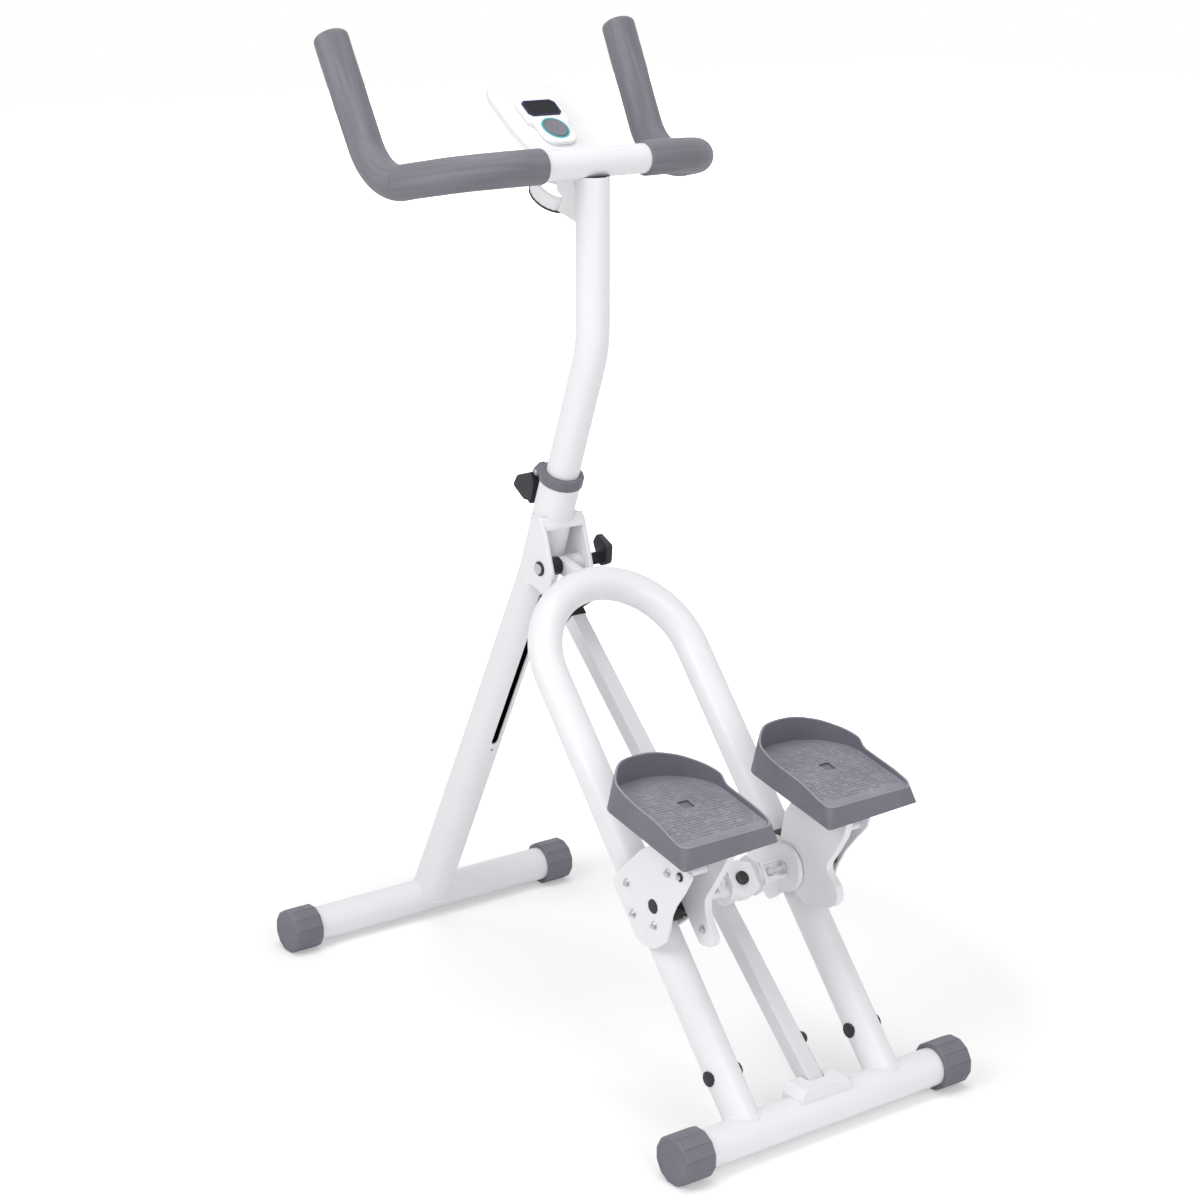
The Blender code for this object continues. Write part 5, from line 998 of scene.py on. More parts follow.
spring_centre = FRONT_FOOT + UPRIGHT_DIR * (SLOT_HIGH - spring_span - 0.0004)
spring_centre = spring_centre + UPRIGHT_BACK * (UPRIGHT_RADIUS - spring_outer / 2)
spring_axes = axes_at(spring_centre + UPRIGHT_DIR * SPRING_WIRE, ACROSS, UPRIGHT_BACK, UPRIGHT_DIR)
spring = grown("spring_finish", [(0, 0, 0)], [], COILS, {
    "Turns": float(SPRING_TURNS), "Coil Radius": SPRING_RADIUS,
    "Length": SPRING_PITCH * SPRING_TURNS, "Wire Radius": SPRING_WIRE,
}, "spring_steel", spring_axes)
shown(spring, "stand", "spring_steel", "slot_spring")


# Mast and handlebar

MAST_END = Vector((0, MAST_KNEE.y, MAST_TOP))
mast_path = bent_path([STEM_TOP - STEM_DIR * MAST_INSERT, MAST_KNEE, MAST_END], [MAST_BEND], 1.5)
mast = tube("mast_finish", mast_path, MAST_RADIUS, MAST_WALL, MAST_SIDES)
cut(mast, rod(CROSSBAR - ACROSS * 0.06, CROSSBAR + ACROSS * 0.06, BAR_RADIUS + GAP, BAR_SIDES, UP))
shown(mast, "mast", WHITE_COAT, "mast")


def horn_line(side, end=0.0, step=3.0):
    """Centre line on one side, from the middle of the crossbar to the horn's tip."""
    elbow = CROSSBAR + ACROSS * side * BAR_HALF_WIDTH
    wrist = elbow + Vector((0, BAR_REACH, -BAR_DROP))
    tip = wrist + Vector((side * HORN_SPREAD, HORN_REACH, HORN_RISE))
    last = tip - (tip - wrist).normalized() * end
    return bent_path([CROSSBAR, elbow, wrist, last], [BAR_BEND, HORN_BEND], step)


bar_path = horn_line(-1, BAR_TIP_INSET)[:0:-1] + horn_line(1, BAR_TIP_INSET)[1:]
bar = tube("handlebar_finish", bar_path, BAR_RADIUS, BAR_WALL, BAR_SIDES, UP)
shown(bar, "mast", WHITE_COAT, "handlebar_tube")


def resampled(path, spacing):
    """The same line with points at even steps."""
    points = [path[0].copy()]
    for a, b in zip(path, path[1:]):
        parts = max(1, round((b - a).length / spacing))
        points.extend(a.lerp(b, (k + 1) / parts) for k in range(parts))
    return points


def foam_sleeve(node, side):
    """Foam sleeve over one horn: a rolled cuff, a skin that swells a little, and a domed tip."""
    line = horn_line(side, BAR_TIP_INSET)[1:]
    start = CROSSBAR + ACROSS * side * FOAM_START
    line = resampled([start + ACROSS * side * FOAM_CUFF] + line, FOAM_STEP)
    outer = BAR_RADIUS + FOAM_THICKNESS
    bore = BAR_RADIUS + GAP
    aim = (line[-1] - line[-2]).normalized()
    path = [start, start + ACROSS * side * 0.0004, start + ACROSS * side * 0.0014]
    sizes = [outer - 0.0016, outer - 0.0007, outer - 0.0001]
    path += line
    sizes += [outer] * len(line)
    dome = BAR_TIP_INSET - FOAM_TIP
    path.append(line[-1] + aim * dome)
    sizes.append(outer)
    for turn in (12, 24, 36, 48, 60, 72, 82):
        path.append(line[-1] + aim * (dome + FOAM_TIP * sin(radians(turn))))
        sizes.append(outer * (0.35 + 0.65 * cos(radians(turn))))
    skin = swept_rings(path, sizes, FOAM_SIDES, UP)
    for i, ring in enumerate(skin[3:-8], 3):
        for k, point in enumerate(ring):
            out = (point - path[i]).normalized()
            soft = noise.noise(point * 19.0) * 0.00035
            soft += noise.noise(point * 61.0 + Vector((7, 1, 3))) * 0.00018
            ring[k] = point + out * soft
    hole = swept_rings([path[0]] + line, [bore] * (len(line) + 1), FOAM_SIDES, UP)
    bm = bmesh.new()
    joined_rings(bm, hole[::-1] + skin)
    bm.normal_update()
    runs = [0.0] * len(hole)
    total = 0.0
    for i, point in enumerate(path):
        total += (point - path[i - 1]).length if i else 0.0
        runs.append(total)
    layer = bm.loops.layers.uv.new("sleeve")
    bm.verts.index_update()
    for face in bm.faces:
        turns = [(loop.vert.index % FOAM_SIDES) / FOAM_SIDES for loop in face.loops]
        wraps = max(turns) - min(turns) > 0.5
        for loop, turn in zip(face.loops, turns):
            if wraps and turn < 0.5:
                turn += 1.0
            loop[layer].uv = (runs[min(loop.vert.index // FOAM_SIDES, len(runs) - 1)], turn)
    mesh = bpy.data.meshes.new(node + "_finish")
    bmesh.ops.recalc_face_normals(bm, faces=bm.faces)
    bm.to_mesh(mesh)
    bm.free()
    mesh.materials.append(FINISHES["grey_foam"])
    shaded(mesh, 50.0)
    obj = shown(linked(node + "_finish", mesh), "mast", "grey_foam", node)


for side, hand in SIDES:
    foam_sleeve("foam_grip_" + hand, side)


# Console

console_axes = axes_at(CONSOLE, ACROSS, PLATE_UP, PLATE_OUT)
half = CONSOLE_HALF_WIDTH
plate_outline = filleted(mirrored([
    (half * 0.80, CONSOLE_BOTTOM, 0.010),
    (half, CONSOLE_TOP * 0.33, 0.080),
    (half, CONSOLE_TOP, half * 0.995),
]), 4.0)
plate = prism("console_plate_finish", plate_outline, -CONSOLE_BACK, 0.0, console_axes, "white_plastic")
shown(rounded(plate, 0.0030, 4), "mast", "white_plastic", "console_plate")

right = [
    (PILL_RADIUS, BUTTON_CENTRE - PILL_RADIUS * 1.08, PILL_RADIUS * 0.99),
    (PILL_RADIUS, MODULE_WAIST - WAIST_SLOPE, 0.005),
    (MODULE_HALF_WIDTH, MODULE_WAIST, 0.005),
    (MODULE_HALF_WIDTH, MODULE_TOP, 0.010),
]
module_outline = filleted([(-x, y, radius) for x, y, radius in right[::-1]] + right, 6.0)
module = prism("console_module_finish", module_outline, GAP, MODULE_HEIGHT, console_axes, "white_plastic")
rounded(module, 0.0014, 3)
ring_inner = BUTTON_RADIUS + 0.0004
ring_outer = ring_inner + BUTTON_RING
button_axes = console_axes @ Matrix.Translation((0, BUTTON_CENTRE, 0))
well_low = MODULE_HEIGHT - BUTTON_PROUD - 0.0035
well = [(ring_outer + GAP, well_low), (ring_outer + GAP, MODULE_HEIGHT + CLEAR)]
cut(module, turned("helper", well, button_axes, HOOP_SIDES))


def display_outline(margin):
    """Window outline with clipped corners."""
    edge = DISPLAY_HALF_WIDTH + margin
    low, high = DISPLAY_LOW - margin, DISPLAY_HIGH + margin
    right = (
        (edge - DISPLAY_CLIP, low), (edge, low + DISPLAY_CLIP),
        (edge, high - DISPLAY_CLIP), (edge - DISPLAY_CLIP, high),
    )
    return filleted(mirrored([(x, y, 0.002) for x, y in right]), 12.0)


def display_layer(name, margin, low, high, *coat):
    """Layer of the window, low and high measured from the face of the module."""
    low, high = MODULE_HEIGHT + low, MODULE_HEIGHT + high
    return prism(name, display_outline(margin), low, high, console_axes, *coat)


cut(module, display_layer("helper", GAP, -DISPLAY_SINK, CLEAR))
shown(levelled(module), "mast", "white_plastic", "console_module")
bezel = display_layer("display_bezel_finish", 0.0, GAP - DISPLAY_SINK, DISPLAY_PROUD, "display_bezel")
cut(bezel, display_layer("helper", -0.0030, -0.0006, CLEAR))
shown(rounded(bezel, 0.0004, 2), "mast", "display_glass", "console_display")
pane = display_layer("display_pane", -0.0031, -0.0005, 0.0004, "display_glass")
shown(rounded(pane, 0.0002, 2, 35.0, 50.0), "mast", "display_glass")

ring_low = well_low + GAP
ring_top = MODULE_HEIGHT + 0.0008
turned_piece("button_ring_finish", [
    (ring_inner, ring_low), (ring_outer, ring_low),
    (ring_outer, ring_top - 0.0007), (ring_outer - 0.0003, ring_top - 0.0002),
    (ring_outer - 0.0008, ring_top), (ring_inner + 0.0006, ring_top),
    (ring_inner, ring_top - 0.0005), (ring_inner, ring_low),
], button_axes, BUTTON_SIDES, "teal_ring", "mast", "button_ring")
button_low = well_low + 0.0020
button_top = MODULE_HEIGHT + BUTTON_PROUD
turned_piece("console_button_finish", [
    (BUTTON_RADIUS, button_low), (BUTTON_RADIUS, button_top - 0.0010),
    (BUTTON_RADIUS - 0.0003, button_top - 0.0005), (BUTTON_RADIUS - 0.0010, button_top - 0.0001),
    (BUTTON_RADIUS - 0.0018, button_top), (BUTTON_RADIUS * 0.80, button_top - 0.0001),
    (BUTTON_RADIUS * 0.50, button_top - 0.0005), (BUTTON_RADIUS * 0.20, button_top - 0.0007),
    (0.0004, button_top - 0.0007),
], button_axes, BUTTON_SIDES, "grey_plastic", "console_button", "console_button")

hoop_centre = CONSOLE + PLATE_UP * HOOP_ALONG - PLATE_OUT * (CONSOLE_THICKNESS + HOOP_BELOW)
hoop_axes = axes_at(hoop_centre, ACROSS, PLATE_UP, PLATE_OUT)
dressed("console_hoop", smooth=55.0)
low = -HOOP_DEPTH / 2
# Black nylon ring round the hoop's rear rim: painted shade along that rim
shade_ring = turned("hoop_shade_ring", [
    (HOOP_RADIUS - 0.0040, low - 0.0012), (HOOP_RADIUS - 0.0006, low - 0.0014),
    (HOOP_RADIUS + 0.0006, low - 0.0004), (HOOP_RADIUS + 0.0006, low + 0.0022),
    (HOOP_RADIUS - 0.0006, low + 0.0026), (HOOP_RADIUS - 0.0040, low + 0.0004),
    (HOOP_RADIUS - 0.0040, low - 0.0012),
], hoop_axes, HOOP_SIDES, "black_nylon")
cut(shade_ring, rod(MAST_END - UP * 0.2, MAST_END + UP * 0.1, MAST_RADIUS + GAP, MAST_SIDES))
shown(shade_ring, "mast", "black_nylon")


# Rear frame

rail_line = [rail_point(-RAIL_SPREAD, TUBE_START, 0)]
for k in range(RAIL_TOP_STEPS + 1):
    turn = pi - pi * k / RAIL_TOP_STEPS
    along = RAIL_LENGTH - RAIL_SPREAD + RAIL_SPREAD * sin(turn)
    rail_line.append(rail_point(RAIL_SPREAD * cos(turn), along, 0))
rail_line.append(rail_point(RAIL_SPREAD, TUBE_START, 0))
rail = tube("rail_finish", rail_line, RAIL_RADIUS, RAIL_WALL, RAIL_SIDES, RAIL_OUT)
cut(rail, base_cutter(REAR_FOOT))
shown(rail, "rear_frame", WHITE_COAT, "rail_frame_tube")


def saddle_line(foot, along, radius, count=96):
    """Line where a tube that rises from the foot meets the base tube."""
    side = ACROSS.cross(along)
    points = []
    for k in range(count):
        turn = 2 * pi * k / count
        reach = BASE_RADIUS * BASE_RADIUS - (radius * sin(turn)) ** 2
        rise = max(sqrt(max(reach, 0.0)), WELD_LEAST_RISE)
        points.append(foot + along * rise + ACROSS * radius * cos(turn) + side * radius * sin(turn))
    return points


def weld(name, loops, body):
    """One weld bead for each closed loop of points."""
    points = []
    edges = []
    for loop in loops:
        start = len(points)
        points += loop
        edges += [(start + a, start + b) for a, b in ring_edges(len(loop))]
    bead = grown(name, points, edges, BEADS, {
        "Bead Radius": WELD_BEAD, "Swell": 0.10, "Step": 0.0011, "Sides": 12,
    }, WHITE_COAT)
    shown(bead, body, WHITE_COAT)


weld("upright_weld", [saddle_line(FRONT_FOOT, UPRIGHT_DIR, UPRIGHT_RADIUS)], "stand")
weld("rail_welds", [
    saddle_line(REAR_FOOT + ACROSS * side * RAIL_SPREAD, RAIL_DIR, RAIL_RADIUS) for side in (-1, 1)
], "rear_frame")


# Pieces that keep the CAD form, a few of them in another coat

for node in (
    "hinge_bracket", "hinge_tongue", "bar_saddle", "bar_top_foot", "bar_strip", "bar_bumper",
    "rocker", "rocker_mount", "hinge_bolt", "hinge_washer", "hinge_bush_left",
    "height_collar", "lever_pin",
    "rail_plug_left_inner", "rail_plug_left_outer", "rail_plug_right_inner", "rail_plug_right_outer",
):
    dressed(node)
# The centre bar in the greyer copy of the white coat, its grey painted shade
dressed("centre_bar", "satin_shaded_coat")
dressed("rocker_axle", "black_nylon")


# Height lever: a blade in the photo's outline, its hub, and the neck between them

lever_axes = axes_at(Vector((0, 0, 0)), Vector((0, 1, 0)), UP, ACROSS)
LEVER_BLADE = in_metres(
    (157.6, 774.2, 2), (191.0, 764.0, 3), (199.8, 751.5, 2), (199.8, 746.5, 3), (181.5, 734.5, 2),
    (176.0, 731.2, 2), (166.0, 731.2, 2), (159.0, 726.2, 2), (150.2, 759.0, 3),
)
LEVER_NECK = in_metres((146.0, 770.2), (164.0, 760.0), (164.0, 772.5), (149.0, 783.0))


def lever_rod(half, radius, sides):
    return rod(LEVER_PIVOT - ACROSS * half, LEVER_PIVOT + ACROSS * half, radius, sides, UP)


blade = filleted(LEVER_BLADE, 12.0)
lever = prism("height_lever_finish", blade, -LEVER_HALF_WIDTH, LEVER_HALF_WIDTH, lever_axes, "dark_plastic")
rounded(lever, 0.0016, 3)
cut(lever, lever_rod(LEVER_HUB_HALF, LEVER_HUB_RADIUS, SMALL_SIDES), "UNION", 45.0)
cut(lever, prism("helper", LEVER_NECK, -LEVER_HUB_HALF, LEVER_HUB_HALF, lever_axes), "UNION", 45.0)
cut(lever, lever_rod(LEVER_HUB_HALF * 2, LEVER_PIN_RADIUS + GAP, 24), smooth=45.0)
shown(levelled(lever), frame["nodes"]["height_lever"]["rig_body"], SLOT_OF["height_lever"], "height_lever")


# Knob, bush and the inner pieces of the carriages, in the CAD form but for a notch

dressed("hinge_lock_knob", "dark_plastic")
# The right hinge bush in the greyer copy of the white coat, its grey painted shade
dressed("hinge_bush_right", "satin_shaded_coat")
rail_axes = axes_at(rail_point(0, CARRIAGE_UP, 0), RAIL_DIR, RAIL_OUT, ACROSS)
for side, hand in SIDES:
    for node in ("drive_lug_", "spacer_front_", "plate_plug_"):
        dressed(node + hand)
    slider = dressed("slider_block_" + hand)
    near, far = sorted(side * x for x in ROLLER_NOTCH_ACROSS)
    low, high = ROLLER_NOTCH
    levelled(cut(slider, block((*low, near), (*high, far), rail_axes), smooth=50.0))
    dressed("drive_pin_" + hand, "satin_shaded_coat")


# Outer plates with their bolts, arms and rollers

PLATE_INNER = RAIL_SPREAD + SLIDER_HALF_WIDTH + GAP
PLATE_PLUG = (-0.0046, 0.0548)
LOBE_BOLT = (-0.0553, 0.0709)
RING_BOLT = (0.0048, 0.1346)
ROLLER = {"left": (-0.0226, 0.0485), "right": (-0.0120, 0.0585)}
ROLLER_INNER_GAP = 0.0060
ROLLER_OUTER_GAP = 0.0040
ROLLER_HUB = in_metres((4, -1.4), (4.6, -1), (4.6, 1), (2, 1))
RING_BOLT_COLLAR = in_metres((6.2, 0), (6.2, 1.2), (5.5, 1.8), (1, 1.8))
RING_BOLT_END = in_metres((4, 1), (4, 3.4), (3.4, 4.2), (1.6, 4.6), (0.3, 4.6))
REAR_SPACER = (0.0080, 0.1290)
SPACER_RADIUS = 0.0055
ARM_FLANGE = in_metres((78, 24, 6), (146, 24, 6), (146, 126, 6), (78, 126, 6))
INNER_PLATE_FACE = 0.0865
BOLTS = {
    "left": in_metres((42.5, 22.5), (4, 8.4), (-26.2, 40.9), (19, 113.8)),
    "right": in_metres((42.5, 22.5), (4, 8.4), (-17, 30), (19, 113.8)),
}
PLATE_FRONT = in_metres((59, -7.8, 10), (64, 35.4, 20), (66.5, 80, 20), (62, 108, 16), (26, 142, 20))
PLATE_REAR = {
    "left": in_metres(
        (-5.2, 158.5, 5), (-16, 130, 60), (-23.2, 100, 40), (-30, 83.8, 30),
        (-44, 66, 40), (-54, 49, 20), (-52.5, 20, 30), (-40, 1, 22),
        (-26, -7.8, 20),
    ),
    "right": in_metres(
        (8.5, 156, 5), (-2, 143, 20), (-5.7, 113.8, 50), (-11, 82.4, 50),
        (-20.5, 54.7, 40), (-30, 38, 20), (-32, 12, 20), (-20, -7.8, 20),
    ),
}
ARM_SPAN = {"left": (0.0980, ARM_OUTER), "right": (0.0863, 0.0983)}
ARM_FRONT = {
    "left": in_metres((36, 50.3, 6), (56, 80, 20), (74.6, 145.1, 2), (6.6, 197.6, 4)),
    "right": in_metres((40, 50.3, 6), (64, 80, 20), (79, 141.5, 2), (6.6, 197.6, 4)),
}
ARM_REAR = {
    "left": in_metres(
        (-8, 156, 30), (-18, 124, 40), (-24.5, 101, 18), (-37, 90.5, 20),
        (-50, 86.2, 20), (-74, 83.2, 9), (-82.8, 72, 8), (-69, 50, 10),
    ),
    "right": in_metres(
        (-13, 170, 40), (-22, 143, 40), (-29, 117, 12), (-34.5, 110.5, 8),
        (-47, 110.8, 12), (-62, 113, 12), (-80, 105, 14), (-80.5, 85, 20),
        (-70, 58, 20), (-56, 38, 18), (-33, 27.5, 12), (-20.6, 27.5, 1),
        (-20.6, 50.3, 1),
    ),
}
INNER_PLATE = in_metres(
    (20, 8, 20), (34, 30, 20), (40, 52, 20), (56, 80, 20),
    (70, 140, 2), (15, 182, 4), (0.6, 138, 40), (-7.2, 114.5, 30),
    (-15, 90, 20), (-28, 70, 20), (-34, 40, 20), (-15, 4, 20),
)


def outward_axes(side, reach, spot):
    """Axes on one side at this reach from the middle, Z outwards."""
    origin = rail_point(side * reach, CARRIAGE_UP + spot[0], spot[1])
    return axes_at(origin, RAIL_DIR * side, RAIL_OUT, ACROSS * side)


def outer_plate(side, hand):
    """Outer plate of a carriage, with washers, heads and a plugged hole."""
    body = "carriage_" + hand
    face = PLATE_INNER + PLATE_THICKNESS
    outline = filleted(PLATE_FRONT + PLATE_REAR[hand], 6.0)
    name = "outer_plate_%s_finish" % hand
    plate = prism(name, outline, side * PLATE_INNER, side * face, rail_axes, WHITE_COAT)
    rounded(plate, 0.0010, 3)
    along, out = PLATE_PLUG
    hole = [rail_point(side * x, CARRIAGE_UP + along, out) for x in (PLATE_INNER - CLEAR, face + CLEAR)]
    cut(plate, rod(*hole, PLATE_PLUG_RADIUS + GAP, 40, RAIL_DIR))
    shown(levelled(plate), body, WHITE_COAT, "outer_plate_" + hand)
    spots = [rail_point(side * face, CARRIAGE_UP + a, o) for a, o in BOLTS[hand]]
    spots.append(rail_point(side * ARM_OUTER, CARRIAGE_UP + LOBE_BOLT[0], LOBE_BOLT[1]))
    heads = grown("plate_bolts_" + hand, spots, [], HEADS, {
        "Hex Radius": HEX_RADIUS, "Hex Height": HEX_HEIGHT,
        "Washer Radius": WASHER_RADIUS, "Washer Height": WASHER_HEIGHT,
    }, "zinc_plate", None, [(side, 0, 0)] * len(spots))
    shown(heads, body, "zinc_plate")
    bolt_axes = outward_axes(side, face, RING_BOLT)
    turned_piece("ring_bolt_collar_" + hand, RING_BOLT_COLLAR, bolt_axes, SMALL_SIDES, "black_nylon", body)
    turned_piece("ring_bolt_" + hand, RING_BOLT_END, bolt_axes, SMALL_SIDES, "zinc_plate", body)


def pedal_arm(side, hand):
    """Arm under the pedal with its flange, the plate on its inner side, a thin spacer and a guide roller."""
    body = "carriage_" + hand
    inner_face, outer_face = (side * x for x in ARM_SPAN[hand])
    outline = filleted(ARM_FRONT[hand] + ARM_REAR[hand], 5.0)
    arm = prism("pedal_arm_%s_finish" % hand, outline, inner_face, outer_face, rail_axes, WHITE_COAT)
    rounded(arm, 0.0014, 3)
    flange = [(side * x, y) for x, y in filleted(ARM_FLANGE, 10.0)]
    flange_axes = axes_at(PEDAL_HEEL, ACROSS, PEDAL_DIR, PEDAL_OUT)
    cut(arm, prism("helper", flange, FLANGE_LOW, FLANGE_LOW + FLANGE_THICKNESS, flange_axes), "UNION")
    shown(levelled(arm), body, WHITE_COAT, "pedal_arm_" + hand)
    low, high = side * INNER_PLATE_FACE, side * (RAIL_SPREAD - SLIDER_HALF_WIDTH - GAP)
    inner = prism("arm_plate_" + hand, filleted(INNER_PLATE, 5.0), low, high, rail_axes, WHITE_COAT)
    shown(rounded(inner, 0.0008, 2), body, WHITE_COAT)
    start = ARM_SPAN[hand][1] + GAP
    profile = [(SPACER_RADIUS, 0.0), (SPACER_RADIUS, PLATE_INNER - GAP - start)]
    spacer_axes = outward_axes(side, start, REAR_SPACER)
    spacer = turned("spacer_rear_%s_finish" % hand, profile, spacer_axes, SMALL_SIDES, WHITE_COAT)
    shown(rounded(spacer, 0.0004, 2, 35.0, 50.0), body, WHITE_COAT, "spacer_rear_" + hand)
    roller_axes = outward_axes(side, ARM_OUTER + ROLLER_INNER_GAP, ROLLER[hand])
    wide = PLATE_INNER - ARM_OUTER - ROLLER_INNER_GAP - ROLLER_OUTER_GAP
    turned_piece("guide_roller_" + hand, [
        (0.0030, 0.0), (0.0060, 0.0), (0.0070, 0.0010), (0.0070, wide * 0.4), (0.0058, wide * 0.45),
        (0.0058, wide * 0.55), (0.0070, wide * 0.6), (0.0070, wide - 0.0010), (0.0060, wide), (0.0030, wide),
    ], roller_axes, 40, "black_nylon", body)
    turned_piece("roller_hub_" + hand, ROLLER_HUB, roller_axes, SMALL_SIDES, "zinc_plate", body)


for side, hand in SIDES:
    outer_plate(side, hand)
    pedal_arm(side, hand)


# Pedals

def smooth_step(value):
    value = min(1.0, max(0.0, value))
    return value * value * (3 - 2 * value)


def pedal_plan(inset, heel_inset, corner):
    """Plan of the pedal as (x, along): full at the outer toe on the left, sloping away on the right."""
    w = PEDAL_HALF_WIDTH - inset
    toe = PEDAL_TOE - inset
    outline = []

    def arc(cx, cy, rx, ry, start, end, parts, bulge=1.0):
        for k in range(parts + 1):
            turn = radians(start + (end - start) * k / parts)
            x, y = (abs(value) ** bulge * (1 if value > 0 else -1) for value in (cos(turn), sin(turn)))
            outline.append((cx + rx * x, cy + ry * y))

    low = heel_inset + corner
    arc(w - corner, low, corner, corner, -90, 0, 10)
    outline += [(w, low + (PEDAL_NOTCH - low) * k / 20) for k in range(1, 20)]
    arc(PEDAL_CROWN, PEDAL_NOTCH, w - PEDAL_CROWN, toe - PEDAL_NOTCH, 0, 90, 40)
    outline.pop()
    arc(PEDAL_CROWN, PEDAL_SIDE, w + PEDAL_CROWN, toe - PEDAL_SIDE, 90, 180, 30, 0.8)
    outline += [(-w, PEDAL_SIDE + (low - PEDAL_SIDE) * k / 26) for k in range(1, 26)]
    arc(-w + corner, low, corner, corner, 180, 270, 10)
    return outline


RIM_RIGHT = (
    (0.0, 0.0012), (0.020, 0.0040), (0.050, 0.0070), (0.105, 0.0078),
    (0.112, 0.0098), (0.122, 0.0180), (0.136, 0.0217),
    (0.1555, 0.0268), (0.170, 0.0325), (PEDAL_TOE, 0.0375),
)
RIM_LEFT = (
    (0.0, 0.0012), (0.030, 0.0026), (0.052, 0.0065), (0.075, 0.0090),
    (0.112, 0.0098), (0.132, 0.0112), (0.150, 0.0155),
    (0.160, 0.0200), (0.168, 0.0295), (0.176, 0.0375), (PEDAL_TOE, 0.0385),
)


def through(points, at):
    """Height at this place of a curve through (place, height) points that does not overshoot them."""
    at = min(points[-1][0], max(points[0][0], at))
    steps = [(b[1] - a[1]) / (b[0] - a[0]) for a, b in zip(points, points[1:])]
    inner = [2 * a * b / (a + b) if a * b > 0 else 0.0 for a, b in zip(steps, steps[1:])]
    slopes = [steps[0], *inner, steps[-1]]
    i = max(k for k in range(len(steps)) if points[k][0] <= at)
    span = points[i + 1][0] - points[i][0]
    t = (at - points[i][0]) / span
    return (
        points[i][1] * (1 + 2 * t) * (1 - t) ** 2 + points[i + 1][1] * t * t * (3 - 2 * t)
        + span * (slopes[i] * t * (1 - t) ** 2 + slopes[i + 1] * t * t * (t - 1))
    )


# Inset and drop of the rim's rounded edge, then inset and rise of the round at the tread's edge
RIM_ROUND = in_metres((0, 1.6), (0.2, 0.7), (0.9, 0.1), (1.8, 0), (2.8, 0.2), (3.4, 0.8), (3.6, 1.4))
TREAD_ROUND = in_metres((0.2, 0.7), (0.6, 0.2), (1.4, 0))
# Bands of faces between the tray's rings: the rim's rounded edge, paler as a painted highlight, and the first
# one of the tread, paler as painted light from above
PAINTED_HIGHLIGHT_BANDS = (5, 6, 7)
TREAD_BAND = 12
TRAY_SMOOTH = 38.0
# Webs beneath the tray: place along it and share of its width, then the places of the ones that run along
WEBS_ACROSS = ((0.055, 1.0), (0.086, 1.0), (0.117, 0.93))
WEBS_ALONG = (-0.030, 0.030)
RIB_SEED = {"left": 3, "right": 8}


def rim_height(x, along):
    """Height of the rim over the tread: full at the toe, stepped down at each side, a lip at the heel."""
    blend = smooth_step((0.35 - x / PEDAL_HALF_WIDTH) / 0.7)
    right = through(RIM_RIGHT, along)
    high = right + (through(RIM_LEFT, along) - right) * blend
    return HEEL_LIP + (high - HEEL_LIP) * smooth_step((along - HEEL_SLOPE) / 0.014)


def spans(outline, along):
    """Least and greatest x of an outline at this distance along it."""
    hits = []
    for (x0, y0), (x1, y1) in zip(outline, outline[1:] + outline[:1]):
        if (y0 - along) * (y1 - along) < 0:
            hits.append(x0 + (x1 - x0) * (along - y0) / (y1 - y0))
    return (min(hits), max(hits)) if len(hits) > 1 else None


def tread_lines(side, tread, middle, keep_out):
    """Points and edges of the tread's ribs, broken here and there and clear of the recess."""
    points = []
    edges = []
    along = TREAD_START
    while along < TREAD_END:
        reach = spans(tread, along)
        if reach and reach[1] - reach[0] > 0.012:
            parts = [reach]
            if abs(along - middle) < keep_out - 0.0002:
                parts = [(reach[0], -keep_out), (keep_out, reach[1])]
            for x0, x1 in parts:
                start = len(points)
                count = max(2, round((x1 - x0) / 0.004))
                points += [Vector((x0 + (x1 - x0) * k / count, along, PEDAL_BODY)) for k in range(count + 1)]
                edges += [
                    (start + k, start + k + 1) for k in range(count)
                    if noise.noise(Vector((k * 0.47, along * 310.0, side))) > -0.20
                ]
        along += TREAD_PITCH
    return points, edges


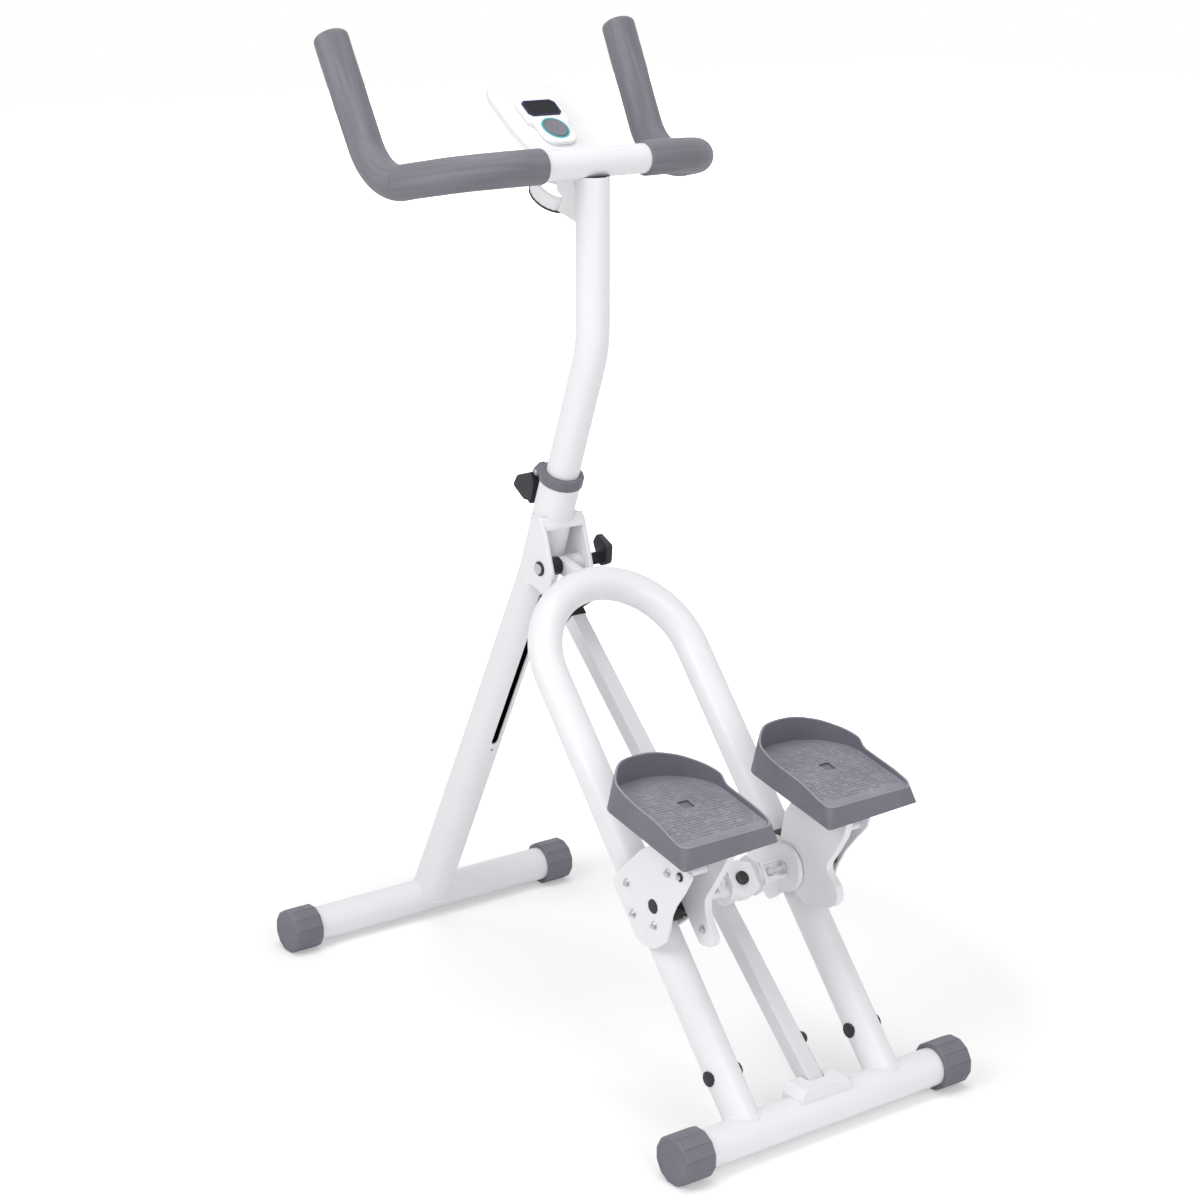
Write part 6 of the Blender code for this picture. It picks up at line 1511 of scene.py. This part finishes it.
def pedal(side, hand):
    """Foot tray: a sloping skirt, a rim that rises round the toe, a ribbed tread, and webs beneath."""
    body = "carriage_" + hand
    node = "pedal_" + hand
    matrix = axes_at(PEDAL_HEEL + ACROSS * side * PEDAL_AT, ACROSS, PEDAL_DIR, PEDAL_OUT)
    high = pedal_plan(SIDE_DRAFT, HEEL_SLOPE, TOP_CORNER)

    def level(inset, heel, height):
        return [Vector((x, y, height)) for x, y in pedal_plan(inset, heel, TOP_CORNER - 0.0020)]

    def under(inset, heel, lift=0.0):
        plan = pedal_plan(inset, heel, LOW_CORNER)
        return [Vector((x, y, PEDAL_LIFT * (0.5 + 0.5 * x / PEDAL_HALF_WIDTH) + lift)) for x, y in plan]

    def rim(inset, drop):
        plan = pedal_plan(SIDE_DRAFT + inset, HEEL_SLOPE + inset, TOP_CORNER - inset * 0.5)
        return [
            Vector((x, y, PEDAL_BODY + rim_height(hx, hy) - drop))
            for (x, y), (hx, hy) in zip(plan, high)
        ]

    wall = PEDAL_WALL
    inner = SIDE_DRAFT + wall
    heel = HEEL_SLOPE + wall
    rings = [
        level(inner, HEEL_SLOPE + wall * 0.4, PEDAL_BODY - wall),
        under(wall, wall * 1.4), under(0.0008, 0.0010), under(0.0, 0.0, 0.0008),
    ]
    rings += [rim(inset, drop) for inset, drop in RIM_ROUND]
    rings += [level(inner + inset, heel + inset, PEDAL_BODY + rise) for inset, rise in TREAD_ROUND]
    for rim_point, tread_point in zip(rings[-4], rings[-3]):
        if rim_point.z < tread_point.z:
            tread_point.z = rim_point.z - 0.0001
    bm = bmesh.new()
    joined_rings(bm, rings)
    bm.faces.ensure_lookup_table()
    # Faces of the rim's rounded edge take a paler grey, a painted highlight; the tread's faces a paler grey,
    # painted light from above
    for i, face in enumerate(bm.faces):
        band = i // len(high)
        if band in PAINTED_HIGHLIGHT_BANDS:
            face.material_index = 1
        elif band >= TREAD_BAND and len(face.verts) == 4 or i == len(bm.faces) - 1:
            face.material_index = 2
    coats = ("grey_plastic", "grey_painted_highlight", "tread_painted_light_grey")
    tray = made_mesh(node + "_finish", bm, matrix, coats, TRAY_SMOOTH)
    size = TREAD_RECESS / 2
    middle = PEDAL_TOE * 0.55
    recess = filleted(mirrored([(size, middle - size, 0.002), (size, middle + size, 0.002)]), 15.0)
    pit = prism("helper", recess, PEDAL_BODY - RECESS_DEPTH, PEDAL_BODY + CLEAR, matrix)
    cut(tray, pit, smooth=TRAY_SMOOTH)
    web_low = FLANGE_THICKNESS + 0.0060
    reach = PEDAL_HALF_WIDTH - SIDE_DRAFT - wall * 0.5
    for at, share in WEBS_ACROSS:
        far = (reach * share, at + PEDAL_RIB, PEDAL_BODY - wall * 0.5)
        cut(tray, block((-far[0], at, web_low), far, matrix), "UNION", TRAY_SMOOTH)
    for x in WEBS_ALONG:
        far = (x + PEDAL_RIB, PEDAL_TOE * 0.84, PEDAL_BODY - wall * 0.6)
        cut(tray, block((x, HEEL_SLOPE, web_low + 0.001), far, matrix), "UNION", TRAY_SMOOTH)
    shown(levelled(tray), body, "grey_plastic", node)

    tread = pedal_plan(inner + 0.0050, heel + 0.0090, 0.012)
    points, edges = tread_lines(side, tread, middle, size + 0.0032)
    # The ribs take the tread's paler grey, painted light from above
    ribs = grown("tread_ribs_" + hand, points, edges, RIBS, {
        "Rib Width": TREAD_RIB, "Rib Height": TREAD_RISE * 2, "Wander": 0.0034, "Seed": RIB_SEED[hand],
    }, "tread_painted_light_grey", matrix)
    shown(ribs, body, "grey_plastic")


for side, hand in SIDES:
    pedal(side, hand)


# Floor, light and camera

def seen_rays(tree):
    """One for the rays that show a surface to the camera: directly, in a gloss or through glass."""
    path = put(tree, "ShaderNodeLightPath").outputs
    onward = maths(tree, "MAXIMUM", path["Is Glossy Ray"], path["Is Transmission Ray"])
    return maths(tree, "MAXIMUM", path["Is Camera Ray"], onward)


def pale_floor():
    """White floor: it keeps the object's shadow near the object, and runs into the background farther out."""
    made = bpy.data.materials.new("studio_floor")
    made.use_nodes = True
    tree = made.node_tree
    shader = tree.nodes["Principled BSDF"]
    at = put(tree, "ShaderNodeTexCoord").outputs["Object"]
    shade = blend_colour(tree, grain(tree, at, 3.0, 3.0), *FLOOR_TONES)
    tree.links.new(shade, shader.inputs["Base Color"])
    shader.inputs["Roughness"].default_value = 0.85
    shader.inputs["Specular IOR Level"].default_value = 0.1
    reach = put(tree, "ShaderNodeVectorMath", {0: at}, operation="LENGTH").outputs["Value"]
    glowing = spread(tree, reach, *FLOOR_GLOW_REACH, FLOOR_GLOW, 1.0)
    direct = put(tree, "ShaderNodeLightPath").outputs["Is Camera Ray"]
    level = spread(tree, direct, 0.0, 1.0, 1.0, FLOOR_LEVEL)
    glow = put(tree, "ShaderNodeEmission", {"Color": WHITE, "Strength": level})
    factor = maths(tree, "MULTIPLY", seen_rays(tree), glowing)
    both = put(tree, "ShaderNodeMixShader", {0: factor, 1: shader.outputs[0], 2: glow.outputs[0]})
    tree.links.new(both.outputs[0], tree.nodes["Material Output"].inputs["Surface"])
    return made


bm = bmesh.new()
bmesh.ops.create_grid(bm, x_segments=1, y_segments=1, size=FLOOR_HALF)
bmesh.ops.translate(bm, verts=bm.verts, vec=(0, 0, -0.0002))
floor_mesh = bpy.data.meshes.new("floor")
bm.to_mesh(floor_mesh)
bm.free()
floor_mesh.materials.append(pale_floor())
floor = linked("floor", floor_mesh)

world = bpy.data.worlds.new("studio")
bpy.context.scene.world = world
world.use_nodes = True
sky = world.node_tree
strength = spread(sky, seen_rays(sky), 0.0, 1.0, WORLD_LEVEL, 1.0)
background = sky.nodes["Background"]
background.inputs["Color"].default_value = WHITE
sky.links.new(strength, background.inputs["Strength"])


for name, place, aim, size, power in LAMPS:
    lamp = bpy.data.lights.new(name, "AREA")
    lamp.shape = "SQUARE"
    lamp.size = size
    lamp.energy = power
    obj = linked(name, lamp)
    obj.location = place
    obj.rotation_euler = (Vector(aim) - Vector(place)).to_track_quat("-Z", "Y").to_euler()

camera = bpy.data.cameras.new("photo_camera")
camera.sensor_fit = "HORIZONTAL"
camera.sensor_width = CAMERA_SENSOR
camera.lens = CAMERA_LENS
camera.clip_end = 60.0
viewer = linked("photo_camera", camera)
viewer.location = CAMERA_PLACE
viewer.rotation_euler = (radians(CAMERA_PITCH), 0.0, radians(CAMERA_TURN))
bpy.context.scene.camera = viewer
bpy.context.scene.view_settings.view_transform = "Standard"
